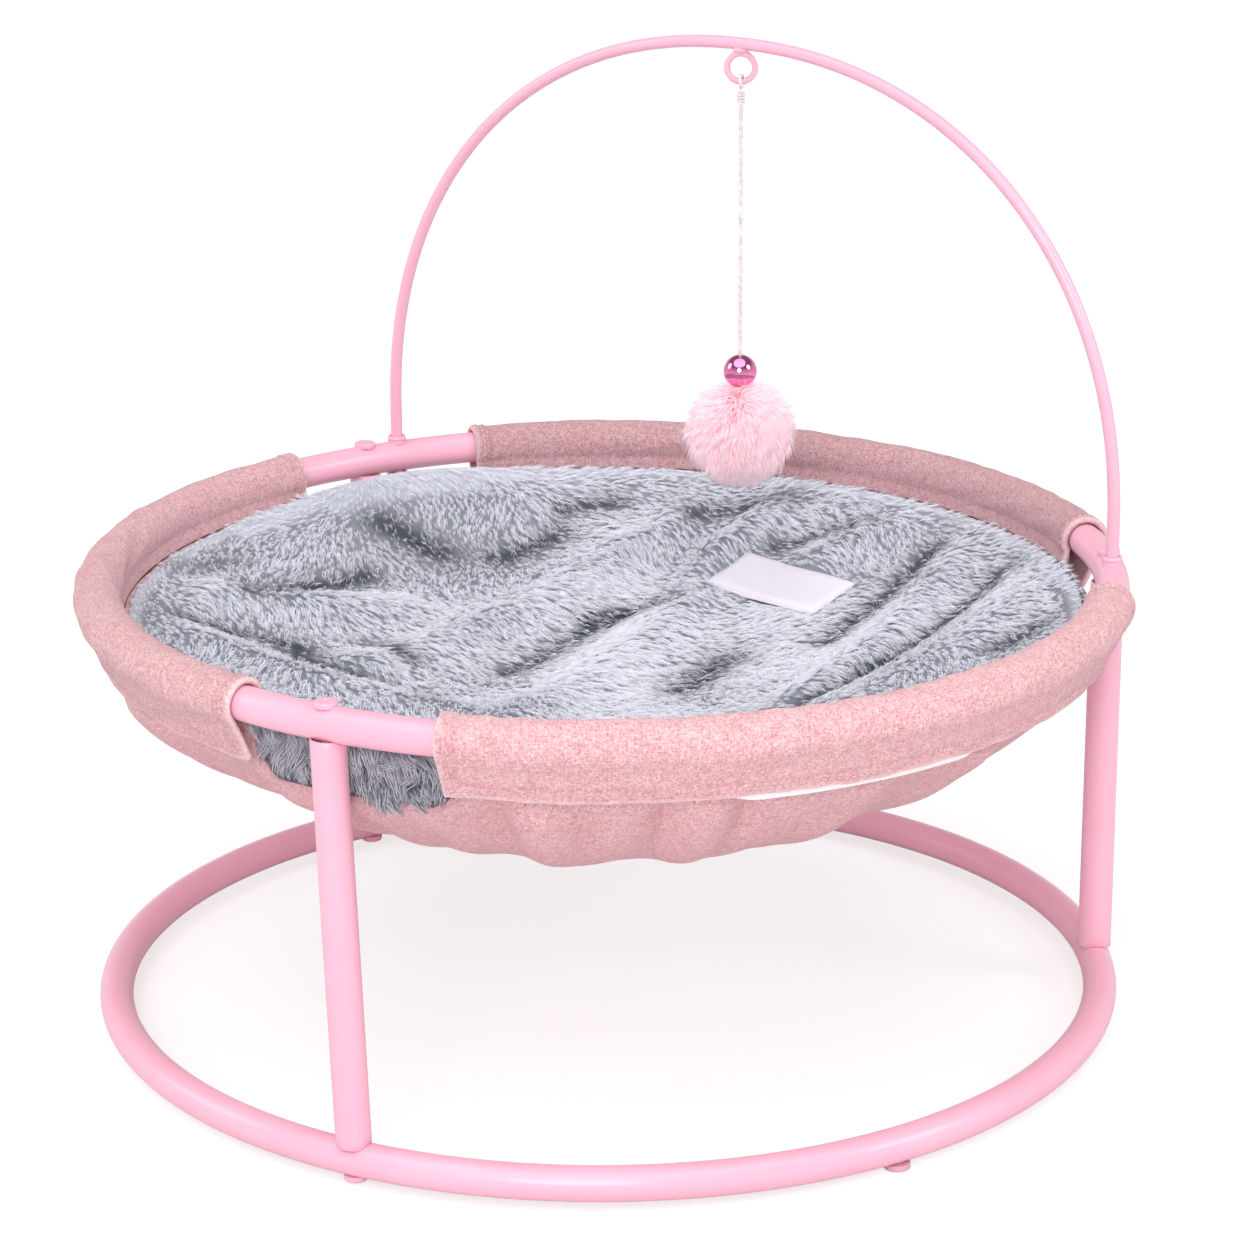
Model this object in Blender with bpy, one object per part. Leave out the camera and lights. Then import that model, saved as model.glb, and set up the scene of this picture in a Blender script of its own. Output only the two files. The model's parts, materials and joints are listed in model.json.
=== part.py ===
"""Cat bed: a padded plush hammock buttoned round the rim of a three-legged steel frame.

A thin steel arch stands on the rim and hangs a pom-pom toy over the bed.
Metres, +Z up. The origin is on the floor under the middle of the bed, and the arch stands along X.
"""
import math

import bmesh
import bpy
from mathutils import Matrix, Vector
from mathutils.bvhtree import BVHTree

# Frame tubes
TUBE_DIAMETER = 0.016
TUBE_WALL = 0.001
RING_RADIUS = 0.240
RIM_HEIGHT = 0.213
COPE_DEPTH = 0.0015
RING_STEPS = 72
TUBE_SIDES = 12
BORE_SIDES = 6

# Places round the bed, in degrees from +X. The legs lean a little, as the bolted frame stands
LEG_BASE_DEG = {"front": 275, "right": 35, "left": 155}
LEG_RIM_DEG = {"front": 273.2, "right": 34, "left": 154.5}
ARCH_FOOT_DEG = {"right": 30, "left": 150}
GLIDE_DEG = (95, 215, 335)
OPENING_DEG = {"front": (262.5, 286), "right": (20, 45), "left": (140, 165)}

# Clearances
FIT_GAP = 0.0003
SLEEVE_GAP = 0.0005
LINING_GAP = 0.0010

# Fasteners
BOLT_DIAMETER = 0.006
BOLT_LENGTH = 0.028
BOLT_HEAD_DIAMETER = 0.0108
BOLT_HEAD_HEIGHT = 0.0023
BOLT_HEAD_SKIRT = 0.0010
BOLT_DIMPLE_DIAMETER = 0.0022
BOLT_DIMPLE_DEPTH = 0.0005
# The head's rounded side: (share of its radius, share of its height)
BOLT_HEAD_SHARES = ((1.0, 0.33), (0.86, 0.80), (0.55, 1.0))
INSERT_LENGTH = 0.014
GLIDE_DIAMETER = 0.012
GLIDE_HEIGHT = 0.003
GLIDE_STEM_DIAMETER = 0.005
GLIDE_STEM_LENGTH = 0.005
GLIDE_EDGE = 0.0005
CUT_OVERRUN = 0.002

# Toy arch
ROD_DIAMETER = 0.006
ARCH_SHOULDER = 0.019
ARCH_RISE = 0.2094
ARCH_FULLNESS_SHARE = 0.94
ARCH_STEPS = 40
COLLAR_DIAMETER = 0.0112
COLLAR_HEIGHT = 0.0032
COLLAR_SKIRT = 0.0010
NUT_ACROSS_CORNERS = 0.0115
NUT_HEIGHT = 0.004
STUD_PROUD = 0.0015

# Eye ring under the arch
EYE_OFFSET = 0.0026
EYE_TURN_DEG = 25
EYE_WIRE_DIAMETER = 0.003
EYE_BEND_RADIUS = 0.0068
EYE_STEPS = 24

# Hanging toy
CORD_DIAMETER = 0.002
KNOT_DIAMETER = 0.0042
KNOT_LENGTH = 0.007
# The knot's waisted side from its bottom up: (share of its radius, share of its length)
KNOT_SHARES = ((0.5, 0.0), (1.0, 0.25), (0.8, 0.5), (1.0, 0.75), (0.5, 1.0))
CORD_DROP = 0.1244
CORD_SIDES = 8
CORD_STEP = 0.005
CORD_TAIL = 0.012
BEAD_DIAMETER = 0.0165
POMPOM_DIAMETER = 0.0524
POMPOM_FLAT_DIAMETER = 0.0274

# Hammock shell
SHELL_RIM_DROP = 0.024
SHELL_DEPTH = 0.069
SHELL_WALL = 0.002
SHELL_POWER = 5.5
SHELL_LIP_HEIGHT = 0.0115
SHELL_LIP_LEAN = 0.0036
SHELL_DIP = 0.017
SHELL_LEG_CLEARANCE = 0.002
SHELL_OUTER_SHARES = (0.25, 0.5, 0.7, 0.84, 0.94, 1.0)
SHELL_INNER_SHARES = (1.0, 0.84, 0.5)
SHELL_LIP_SHARES = (0.6, 1.0)
SHELL_LIP_LOSS_SHARE = 0.75
GATHER_DEPTH = 0.003
GATHER_COUNT = 24
GATHER_GROWTH_SHARES = (0.7, 0.95)
PINCH_HOLD_DEG = 9.5
PINCH_END_DEG = 17

# Rim sleeves and their tapes
SLEEVE_CLOTH = 0.0026
SLEEVE_BAND_DROP = 0.0245
SLEEVE_LEAVES_DEG = -32
SLEEVE_STEP_DEG = 5
SLEEVE_TUCK_DEG = 210
TAPE_THICKNESS = 0.001
TAPE_WIDTH = 0.0115
TAPE_PROUD = 0.0015
TAPE_END_DEG = 5

# Plush liner
PLUSH_EDGE_DROP = 0.0125
PLUSH_SAG = 0.040
PLUSH_SAG_POWER = 2.2
PLUSH_SIDE_DROP = 0.004
PLUSH_SIDE_BULGE = 0.0008
PLUSH_TUCK_SHARE = 0.33
PLUSH_TOP_SHARES = (0.17, 0.34, 0.5, 0.65, 0.8, 0.91, 1.0)
PLUSH_BOTTOM_SHARES = (0.84, 0.5)
FOLD_HEIGHT = 0.0055
FOLD_FADE_SHARES = (0.75, 1.0)
# Each fold: where it starts and ends and its width, in shares of the plush radius, and its height
FOLD_SHARES = (
    ((-0.07, -0.35), (-0.33, 0.90), 0.085, 1.0),
    ((0.30, -0.45), (0.40, 0.92), 0.090, 1.0),
    ((0.50, -0.35), (0.66, 0.70), 0.080, 0.9),
    ((-0.14, 0.55), (-0.17, 0.95), 0.070, 0.7),
    ((0.10, 0.78), (0.13, 0.95), 0.070, 0.7),
    ((-0.85, -0.30), (-0.20, -0.55), 0.090, 1.0),
    ((-0.80, -0.05), (-0.30, -0.22), 0.080, 0.6),
)

# Blank label sewn on the plush
LABEL_LENGTH = 0.070
LABEL_WIDTH = 0.036
LABEL_THICKNESS = 0.0008
LABEL_PLACE_SHARES = (0.07, 0.60)
LABEL_TURN_DEG = -8
LABEL_STEPS = (8, 4)
LABEL_FEEL = 0.002

# Worked out from the sizes above
TUBE_R = TUBE_DIAMETER / 2
BOLT_R = BOLT_DIAMETER / 2
ROD_R = ROD_DIAMETER / 2
CORD_R = CORD_DIAMETER / 2
EYE_WIRE_R = EYE_WIRE_DIAMETER / 2
BASE_HEIGHT = GLIDE_HEIGHT + TUBE_R
RIM_TOP = RIM_HEIGHT + TUBE_R
RIM_BOTTOM = RIM_HEIGHT - TUBE_R
BASE_TOP = BASE_HEIGHT + TUBE_R
BASE_BOTTOM = BASE_HEIGHT - TUBE_R
SLEEVES = {
    "right": (OPENING_DEG["front"][1], OPENING_DEG["right"][0] + 360),
    "back": (OPENING_DEG["right"][1], OPENING_DEG["left"][0]),
    "left": (OPENING_DEG["left"][1], OPENING_DEG["front"][0]),
}
SLEEVE_HEM = RIM_HEIGHT - SLEEVE_BAND_DROP
SHELL_RIM = RIM_HEIGHT - SHELL_RIM_DROP
SHELL_FLOOR = SHELL_RIM - SHELL_DEPTH
PLUSH_EDGE = RIM_HEIGHT - PLUSH_EDGE_DROP
SLEEVE_INNER = TUBE_R + SLEEVE_GAP
SLEEVE_OUTER = SLEEVE_INNER + SLEEVE_CLOTH
ARCH_Y = RING_RADIUS * math.sin(math.radians(ARCH_FOOT_DEG["right"]))
ARCH_HALF_SPAN = RING_RADIUS * math.cos(math.radians(ARCH_FOOT_DEG["right"]))
ARCH_SPRING = RIM_TOP + ARCH_SHOULDER
ARCH_TOP = ARCH_SPRING + ARCH_RISE
PLUSH_RADIUS = RING_RADIUS - SLEEVE_OUTER - FIT_GAP - LINING_GAP

UPRIGHT = Vector((0, 0, 0))
PINK = (0.88, 0.52, 0.61)
LINEN = (0.83, 0.52, 0.55)
GREY_PLUSH = (0.54, 0.55, 0.60)
SOFT_PINK = (0.95, 0.66, 0.73)
WHITE = (0.92, 0.90, 0.92)
CHROME_PINK = (0.80, 0.30, 0.50)


def clear_scene():
    for obj in list(bpy.data.objects):
        bpy.data.objects.remove(obj, do_unlink=True)


def finish(name, colour, roughness, metallic=0.0):
    material = bpy.data.materials.new(name)
    material.use_nodes = True
    shader = material.node_tree.nodes["Principled BSDF"]
    shader.inputs["Base Color"].default_value = (*colour, 1.0)
    shader.inputs["Roughness"].default_value = roughness
    shader.inputs["Metallic"].default_value = metallic
    material.diffuse_color = (*colour, 1.0)
    return material


def make_object(name, points, faces, material=None):
    """A mesh object from points in world places, its faces turned to point out."""
    mesh = bpy.data.meshes.new(name)
    mesh.from_pydata(points, [], faces)
    work = bmesh.new()
    work.from_mesh(mesh)
    bmesh.ops.recalc_face_normals(work, faces=work.faces)
    work.to_mesh(mesh)
    work.free()
    mesh.shade_smooth()
    mesh.set_sharp_from_angle(angle=math.radians(40))
    obj = bpy.data.objects.new(name, mesh)
    bpy.context.scene.collection.objects.link(obj)
    if material:
        mesh.materials.append(material)
    return obj


def make_cutter(name, points, faces):
    cutter = make_object(name, points, faces)
    cutter.hide_render = True
    cutter.display_type = "WIRE"
    return cutter


def combine(obj, other, operation):
    step = obj.modifiers.new(operation.lower() + "_" + other.name, "BOOLEAN")
    step.operation = operation
    step.object = other
    step.solver = "EXACT"


def smooth_share(value, low, high):
    """0 below low, 1 above high, and a smooth step between."""
    share = min(1.0, max(0.0, (value - low) / (high - low)))
    return share * share * (3 - 2 * share)


def hole_radius(radius, sides):
    """The corner radius of a many-sided hole that clears a round piece all the way round."""
    return (radius + FIT_GAP) / math.cos(math.pi / sides)


def around(radius, degrees, height=0.0):
    angle = math.radians(degrees)
    return Vector((radius * math.cos(angle), radius * math.sin(angle), height))


def loft(loops, closed_loops=True, cap_first=None, cap_last=None):
    """Faces between loops of equally many points, with a pole or a flat cap at either end."""
    points = [p for loop in loops for p in loop]
    count = len(loops[0])
    faces = []
    for k in range(len(loops) - 1):
        for i in range(count if closed_loops else count - 1):
            j = (i + 1) % count
            faces.append((k * count + i, k * count + j, (k + 1) * count + j, (k + 1) * count + i))
    last = (len(loops) - 1) * count
    for cap, start in ((cap_first, 0), (cap_last, last)):
        if cap == "flat":
            faces.append(tuple(range(start, start + count)))
        elif cap is not None:
            points.append(cap)
            pole = len(points) - 1
            faces += [(start + i, start + (i + 1) % count, pole) for i in range(count)]
    return points, faces


def turn(radius, height, sides, centre, lean):
    """One circle of a turned piece; centre is its axis at the floor, and lean is the axis's run for each rise."""
    middle = centre + lean * height
    return [middle + around(radius, 360 * i / sides, height) for i in range(sides)]


def closed_profile(outline, sides, centre, lean=UPRIGHT):
    """A closed (radius, height) outline turned about an axis, which it does not touch."""
    loops = [turn(radius, height, sides, centre, lean) for radius, height in [*outline, outline[0]]]
    points, faces = loft(loops)
    count = len(outline) * sides
    return points[:count], [tuple(i % count for i in face) for face in faces]


def turned(outline, sides, centre, lean=UPRIGHT):
    """A (radius, height) outline turned about an axis, which its two ends meet."""
    loops = [turn(radius, height, sides, centre, lean) for radius, height in outline[1:-1]]
    up = Vector((0, 0, 1))
    first, last = (centre + (lean + up) * outline[k][1] for k in (0, -1))
    return loft(loops, cap_first=first, cap_last=last)


def rod(radius, low, high, sides, centre, lean=UPRIGHT):
    return turned([(0, low), (radius, low), (radius, high), (0, high)], sides, centre, lean)


def leg_axis(side):
    """Where a leg's axis meets the floor, and its lean."""
    base = around(RING_RADIUS, LEG_BASE_DEG[side])
    lean = (around(RING_RADIUS, LEG_RIM_DEG[side]) - base) / (RIM_HEIGHT - BASE_HEIGHT)
    return base - lean * BASE_HEIGHT, lean


def ring_surface(height, radius, sides):
    """A ring tube's surface: its section has a corner at the very top and bottom."""
    loops = []
    for k in range(RING_STEPS + 1):
        turn = 360 * k / RING_STEPS
        loop = []
        for i in range(sides):
            section = math.radians(90 + 360 * i / sides)
            reach = RING_RADIUS + radius * math.cos(section)
            loop.append(around(reach, turn, height + radius * math.sin(section)))
        loops.append(loop)
    points, faces = loft(loops)
    count = RING_STEPS * sides
    return points[:count], [tuple(i % count for i in face) for face in faces]


def ring_tube(name, height, holes, material):
    """A hollow steel ring, opened only by its drilled holes."""
    points, faces = ring_surface(height, TUBE_R, TUBE_SIDES)
    inner_points, inner_faces = ring_surface(height, TUBE_R - TUBE_WALL, BORE_SIDES)
    mesh = bpy.data.meshes.new(name)
    start = len(points)
    outward = [tuple(reversed(face)) for face in faces]
    inward = [tuple(start + i for i in face) for face in inner_faces]
    mesh.from_pydata(points + inner_points, [], outward + inward)
    mesh.shade_smooth()
    mesh.set_sharp_from_angle(angle=math.radians(40))
    mesh.materials.append(material)
    obj = bpy.data.objects.new(name, mesh)
    bpy.context.scene.collection.objects.link(obj)
    hole_points = []
    hole_faces = []
    for axis, radius, low, high in holes:
        more_points, more_faces = rod(radius, low, high, CORD_SIDES, *axis)
        hole_faces += [tuple(len(hole_points) + i for i in face) for face in more_faces]
        hole_points += more_points
    combine(obj, make_cutter("drill_" + name, hole_points, hole_faces), "DIFFERENCE")
    return obj


def seat_cutter(name, height):
    """The space that a ring takes from what is fitted against it."""
    points, faces = ring_surface(height, TUBE_R + FIT_GAP, TUBE_SIDES)
    return make_cutter(name, points, faces)


def make_frame(pink, steel, black, rim_seat, base_seat):
    bolt_hole = hole_radius(BOLT_R, CORD_SIDES)
    rod_hole = hole_radius(ROD_R, CORD_SIDES)
    stem_hole = hole_radius(GLIDE_STEM_DIAMETER / 2, CORD_SIDES)
    through = TUBE_R + CUT_OVERRUN
    legs = [leg_axis(side) for side in LEG_BASE_DEG]
    feet = [(around(RING_RADIUS, d), UPRIGHT) for d in ARCH_FOOT_DEG.values()]
    glides = [(around(RING_RADIUS, d), UPRIGHT) for d in GLIDE_DEG]
    rim_holes = [(axis, bolt_hole, RIM_HEIGHT - through, RIM_HEIGHT + through) for axis in legs]
    rim_holes += [(axis, rod_hole, RIM_HEIGHT - through, RIM_HEIGHT + through) for axis in feet]
    base_holes = [(axis, bolt_hole, BASE_HEIGHT - through, BASE_HEIGHT + through) for axis in legs]
    base_holes += [(axis, stem_hole, BASE_HEIGHT - through, BASE_HEIGHT) for axis in glides]
    ring_tube("rim_ring", RIM_HEIGHT, rim_holes, pink)
    ring_tube("base_ring", BASE_HEIGHT, base_holes, pink)
    for side in LEG_BASE_DEG:
        axis = leg_axis(side)
        make_leg(side, axis, pink, rim_seat, base_seat)
        top_insert = RIM_BOTTOM - FIT_GAP - INSERT_LENGTH
        make_insert("leg_insert_top_" + side, axis, top_insert, steel)
        make_insert("leg_insert_bottom_" + side, axis, BASE_TOP + FIT_GAP, steel)
        make_bolt("rim_bolt_" + side, axis, RIM_TOP, 1, pink, rim_seat)
        make_bolt("base_bolt_" + side, axis, BASE_BOTTOM, -1, pink, base_seat)
    for number, degrees in enumerate(GLIDE_DEG, 1):
        make_glide("base_glide_" + str(number), around(RING_RADIUS, degrees), black)


def make_leg(side, axis, pink, rim_seat, base_seat):
    """A straight tube, coped at both ends to sit against the rings."""
    low = BASE_TOP - COPE_DEPTH
    high = RIM_BOTTOM + COPE_DEPTH
    bore = TUBE_R - TUBE_WALL
    outline = [(bore, low), (TUBE_R, low), (TUBE_R, high), (bore, high)]
    leg = make_object("leg_" + side, *closed_profile(outline, TUBE_SIDES, *axis), pink)
    combine(leg, rim_seat, "DIFFERENCE")
    combine(leg, base_seat, "DIFFERENCE")


def make_insert(name, axis, low, steel):
    """A threaded plug pressed into a leg's end."""
    bore = hole_radius(BOLT_R, TUBE_SIDES)
    body = TUBE_R - TUBE_WALL - FIT_GAP
    high = low + INSERT_LENGTH
    outline = [(bore, low), (body, low), (body, high), (bore, high)]
    make_object(name, *closed_profile(outline, TUBE_SIDES, *axis), steel)


def make_bolt(name, axis, face, up, pink, seat):
    """A button-head bolt through the ring; face is the tube's outer side and up points away from it."""
    head = BOLT_HEAD_DIAMETER / 2
    dimple = BOLT_DIMPLE_DIAMETER / 2
    top = BOLT_HEAD_HEIGHT
    shape = [(0, -BOLT_HEAD_SKIRT), (head, -BOLT_HEAD_SKIRT)]
    shape += [(head * across, top * up_share) for across, up_share in BOLT_HEAD_SHARES]
    shape += [(dimple, top), (dimple / 2, top - BOLT_DIMPLE_DEPTH), (0, top - BOLT_DIMPLE_DEPTH)]
    outline = [(radius, face + up * height) for radius, height in shape]
    bolt = make_object(name, *turned(outline, TUBE_SIDES, *axis), pink)
    combine(bolt, seat, "DIFFERENCE")
    ends = sorted((face + up * top / 2, face - up * (BOLT_LENGTH - FIT_GAP)))
    shank = make_cutter("shank_" + name, *rod(BOLT_R, ends[0], ends[1], CORD_SIDES, *axis))
    combine(bolt, shank, "UNION")


def make_glide(name, centre, black):
    """A push-in foot under the base ring, which the whole bed stands on."""
    foot = GLIDE_DIAMETER / 2
    stem = GLIDE_STEM_DIAMETER / 2
    seat = BASE_BOTTOM - FIT_GAP
    outline = [(0, 0), (foot - GLIDE_EDGE, 0), (foot, GLIDE_EDGE), (foot, seat)]
    outline += [(stem, seat), (stem, seat + GLIDE_STEM_LENGTH), (0, seat + GLIDE_STEM_LENGTH)]
    make_object(name, *turned(outline, CORD_SIDES, centre), black)


def arch_route():
    """Points along the arch, from the left stud's end to the right stud's end."""
    stud_end = RIM_BOTTOM - FIT_GAP - NUT_HEIGHT - STUD_PROUD
    route = [Vector((-ARCH_HALF_SPAN, ARCH_Y, stud_end)), Vector((-ARCH_HALF_SPAN, ARCH_Y, RIM_TOP))]
    for k in range(ARCH_STEPS + 1):
        angle = math.pi * k / ARCH_STEPS
        across = math.copysign(abs(math.cos(angle)) ** ARCH_FULLNESS_SHARE, -math.cos(angle))
        rise = abs(math.sin(angle)) ** ARCH_FULLNESS_SHARE
        route.append(Vector((ARCH_HALF_SPAN * across, ARCH_Y, ARCH_SPRING + ARCH_RISE * rise)))
    route += [Vector((-p.x, p.y, p.z)) for p in reversed(route[:2])]
    return route


def make_tube(name, route, radius, material, sides=CORD_SIDES):
    """A round bar or cord along a route, as a filled curve."""
    curve = bpy.data.curves.new(name, "CURVE")
    curve.dimensions = "3D"
    curve.bevel_depth = radius
    curve.bevel_resolution = (sides - 4) // 2
    curve.use_fill_caps = True
    spline = curve.splines.new("POLY")
    spline.points.add(len(route) - 1)
    for point, place in zip(spline.points, route):
        point.co = (*place, 1)
    curve.materials.append(material)
    obj = bpy.data.objects.new(name, curve)
    bpy.context.scene.collection.objects.link(obj)
    return obj


def make_arch(pink, steel, rim_seat):
    make_tube("toy_arch", arch_route(), ROD_R, pink)
    bore = hole_radius(ROD_R, TUBE_SIDES)
    for side, degrees in ARCH_FOOT_DEG.items():
        centre = around(RING_RADIUS, degrees)
        edge = COLLAR_DIAMETER / 2
        low = RIM_TOP - COLLAR_SKIRT
        high = RIM_TOP + COLLAR_HEIGHT
        chamfer = COLLAR_HEIGHT / 4
        outline = [(bore, low), (edge, low), (edge, high - chamfer), (edge - chamfer, high), (bore, high)]
        collar = make_object("arch_collar_" + side, *closed_profile(outline, TUBE_SIDES, centre), pink)
        combine(collar, rim_seat, "DIFFERENCE")
        make_nut("arch_nut_" + side, centre, RIM_BOTTOM - FIT_GAP, bore, steel)


def make_nut(name, centre, top, bore, steel):
    """A hexagon nut with a round bore."""
    corner = NUT_ACROSS_CORNERS / 2
    flat = corner * math.cos(math.pi / 6)
    loops = []
    for height in (top, top - NUT_HEIGHT):
        hexagon = [around(flat if i % 2 else corner, 360 * i / TUBE_SIDES, height) for i in range(TUBE_SIDES)]
        round_hole = [around(bore, 360 * i / TUBE_SIDES, height) for i in range(TUBE_SIDES)]
        loops.append([centre + p for p in hexagon])
        loops.append([centre + p for p in round_hole])
    inner_top, outer_top = loops[1], loops[0]
    points, faces = loft([outer_top, inner_top, loops[3], loops[2], outer_top])
    count = 4 * TUBE_SIDES
    make_object(name, points[:count], [tuple(i % count for i in face) for face in faces], steel)


def eye_axes():
    """The direction along the eye ring's plane, and the one square to it."""
    along = Vector((math.cos(math.radians(EYE_TURN_DEG)), math.sin(math.radians(EYE_TURN_DEG)), 0))
    return along, Vector((along.y, -along.x, 0))


def eye_centre():
    """The eye ring's middle, hung just under the arch."""
    share = EYE_OFFSET / ARCH_HALF_SPAN
    angle = math.acos(share ** (1 / ARCH_FULLNESS_SHARE))
    rod_height = ARCH_SPRING + ARCH_RISE * math.sin(angle) ** ARCH_FULLNESS_SHARE
    drop = ROD_R + FIT_GAP + EYE_WIRE_R + EYE_BEND_RADIUS
    return Vector((EYE_OFFSET, ARCH_Y, rod_height - drop))


def hoop(centre, along, up, bend_radius, wire_radius, steps, sides):
    """A closed ring of wire in the plane of along and up."""
    out = along.cross(up)
    loops = []
    for k in range(steps + 1):
        angle = 2 * math.pi * k / steps
        radial = along * math.sin(angle) + up * math.cos(angle)
        loop = []
        for i in range(sides):
            section = 2 * math.pi * i / sides
            offset = radial * math.cos(section) + out * math.sin(section)
            loop.append(centre + radial * bend_radius + offset * wire_radius)
        loops.append(loop)
    points, faces = loft(loops)
    count = steps * sides
    return points[:count], [tuple(i % count for i in face) for face in faces]


def make_toy(pink, white, chrome, fluff):
    along, square = eye_axes()
    up = Vector((0, 0, 1))
    centre = eye_centre()
    eye = hoop(centre, along, up, EYE_BEND_RADIUS, EYE_WIRE_R, EYE_STEPS, CORD_SIDES)
    make_object("eye_ring", *eye, pink)
    wire = centre - up * EYE_BEND_RADIUS
    loop_bend = EYE_WIRE_R + FIT_GAP + CORD_R
    loop_shape = hoop(wire, square, up, loop_bend, CORD_R, EYE_STEPS // 2, CORD_SIDES)
    make_object("cord_loop", *loop_shape, white)
    knot_top = wire.z - loop_bend - CORD_R - FIT_GAP
    knot_bottom = knot_top - KNOT_LENGTH
    edge = KNOT_DIAMETER / 2
    side = [(edge * across, knot_bottom + KNOT_LENGTH * up_share) for across, up_share in KNOT_SHARES]
    shape = [(0, knot_bottom), *side, (0, knot_top)]
    foot = Vector((centre.x, centre.y, 0))
    make_object("cord_knot", *turned(shape, CORD_SIDES, foot), white)
    bead_top = knot_bottom - FIT_GAP - CORD_DROP
    cord_end = bead_top - BEAD_DIAMETER - CORD_TAIL
    start = knot_bottom - FIT_GAP
    steps = max(2, round((start - cord_end) / CORD_STEP))
    route = [foot + up * (start + (cord_end - start) * k / steps) for k in range(steps + 1)]
    make_tube("toy_cord", route, CORD_R, white)
    make_bead(foot, bead_top, chrome)
    make_pompom(foot, bead_top - BEAD_DIAMETER - FIT_GAP, cord_end, fluff)


def make_bead(foot, top, chrome):
    """A ball with the cord's bore through it."""
    radius = BEAD_DIAMETER / 2
    bore = hole_radius(CORD_R, TUBE_SIDES)
    first = math.asin(bore / radius)
    rows = 9
    outline = []
    for k in range(rows + 1):
        angle = first + (math.pi - 2 * first) * k / rows
        outline.append((radius * math.sin(angle), top - radius - radius * math.cos(angle)))
    make_object("toy_bead", *closed_profile(outline, TUBE_SIDES, foot), chrome)


def make_pompom(foot, top, cord_end, fluff):
    """A ball, flat under the bead, with the blind hole that the cord is sewn into."""
    radius = POMPOM_DIAMETER / 2
    flat = POMPOM_FLAT_DIAMETER / 2
    first = math.asin(flat / radius)
    bore = hole_radius(CORD_R, TUBE_SIDES)
    middle = top - radius * math.cos(first)
    rows = 8
    outline = [(0, cord_end - FIT_GAP), (bore, cord_end - FIT_GAP), (bore, top)]
    for k in range(rows):
        angle = first + (math.pi - first) * k / rows
        outline.append((radius * math.sin(angle), middle + radius * math.cos(angle)))
    outline.append((0, middle - radius))
    make_object("toy_pompom", *turned(outline, TUBE_SIDES, foot), fluff)


def pinch(degrees):
    """1 where the bowl is drawn in past a leg, 0 where a sleeve holds it out."""
    middles = [(first + last) / 2 for first, last in OPENING_DEG.values()]
    nearest = min(abs((degrees - middle + 180) % 360 - 180) for middle in middles)
    return 1 - smooth_share(nearest, PINCH_HOLD_DEG, PINCH_END_DEG)


def band_radius(cloth, height):
    """A face of the hanging band at a height: it leaves the tube on a line that only touches its side."""
    leaves = math.radians(SLEEVE_LEAVES_DEG)
    drop = RIM_HEIGHT + cloth * math.sin(leaves) - height
    return RING_RADIUS + cloth * math.cos(leaves) + drop * math.tan(leaves)


def shell_radius(degrees):
    held_out = band_radius(SLEEVE_INNER, SHELL_RIM) - 3 * FIT_GAP - TAPE_THICKNESS
    drawn_in = RING_RADIUS - TUBE_R - SHELL_LEG_CLEARANCE
    return held_out + (drawn_in - held_out) * pinch(degrees)


def bowl_point(share, degrees, inset):
    """A point of the bowl, inset from its outer face, at a share of its radius."""
    drawn = pinch(degrees)
    radius = shell_radius(degrees)
    rim = SHELL_RIM - SHELL_DIP * drawn
    wave = max(0.0, math.cos(math.radians(GATHER_COUNT * (degrees - SLEEVE_STEP_DEG)))) ** 2
    gather = GATHER_DEPTH * wave * smooth_share(share, *GATHER_GROWTH_SHARES) * (1 - drawn)
    reach = share * (radius - inset) - gather
    height = SHELL_FLOOR + (rim - SHELL_FLOOR) * share**SHELL_POWER + inset * (1 - share * share)
    return around(reach, degrees, height)


def lip_point(share, degrees, inset):
    """A point of the lip that turns in under the rim tube."""
    drawn = pinch(degrees)
    base = bowl_point(1.0, degrees, 0.0)
    out = math.hypot(base.x, base.y)
    left = 1 - SHELL_LIP_LOSS_SHARE * drawn
    lean = SHELL_LIP_LEAN * share * share * left
    return around(out - lean - inset, degrees, base.z + SHELL_LIP_HEIGHT * share * left - inset * share / 2)


def ring_of(function, share, inset):
    return [function(share, 360 * k / RING_STEPS, inset) for k in range(RING_STEPS)]


def make_shell(linen):
    outer = [ring_of(bowl_point, share, 0.0) for share in SHELL_OUTER_SHARES]
    outer += [ring_of(lip_point, share, 0.0) for share in SHELL_LIP_SHARES]
    inner = [ring_of(lip_point, share, SHELL_WALL) for share in reversed(SHELL_LIP_SHARES)]
    inner += [ring_of(bowl_point, share, SHELL_WALL) for share in SHELL_INNER_SHARES]
    low = Vector((0, 0, SHELL_FLOOR))
    high = Vector((0, 0, SHELL_FLOOR + SHELL_WALL))
    make_object("hammock_shell", *loft(outer + inner, cap_first=low, cap_last=high), linen)


def fold_height(x, y):
    """How far the plush's folds lift its face at a place."""
    height = 0.0
    for start, end, width, tall in FOLD_SHARES:
        first = Vector(start) * PLUSH_RADIUS
        run = Vector(end) * PLUSH_RADIUS - first
        place = Vector((x, y)) - first
        along = place.dot(run) / run.length_squared
        nearest = first + run * min(1.0, max(0.0, along))
        off = (Vector((x, y)) - nearest).length / (width * PLUSH_RADIUS)
        height += FOLD_HEIGHT * tall * math.exp(-off * off)
    return height


def plush_top(x, y):
    """The plush's face: sagged towards the middle, with its folds fading out at the edge."""
    share = min(1.0, math.hypot(x, y) / PLUSH_RADIUS)
    sag = PLUSH_SAG * (1 - share**PLUSH_SAG_POWER)
    return PLUSH_EDGE - sag + fold_height(x, y) * (1 - smooth_share(share, *FOLD_FADE_SHARES))


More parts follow.
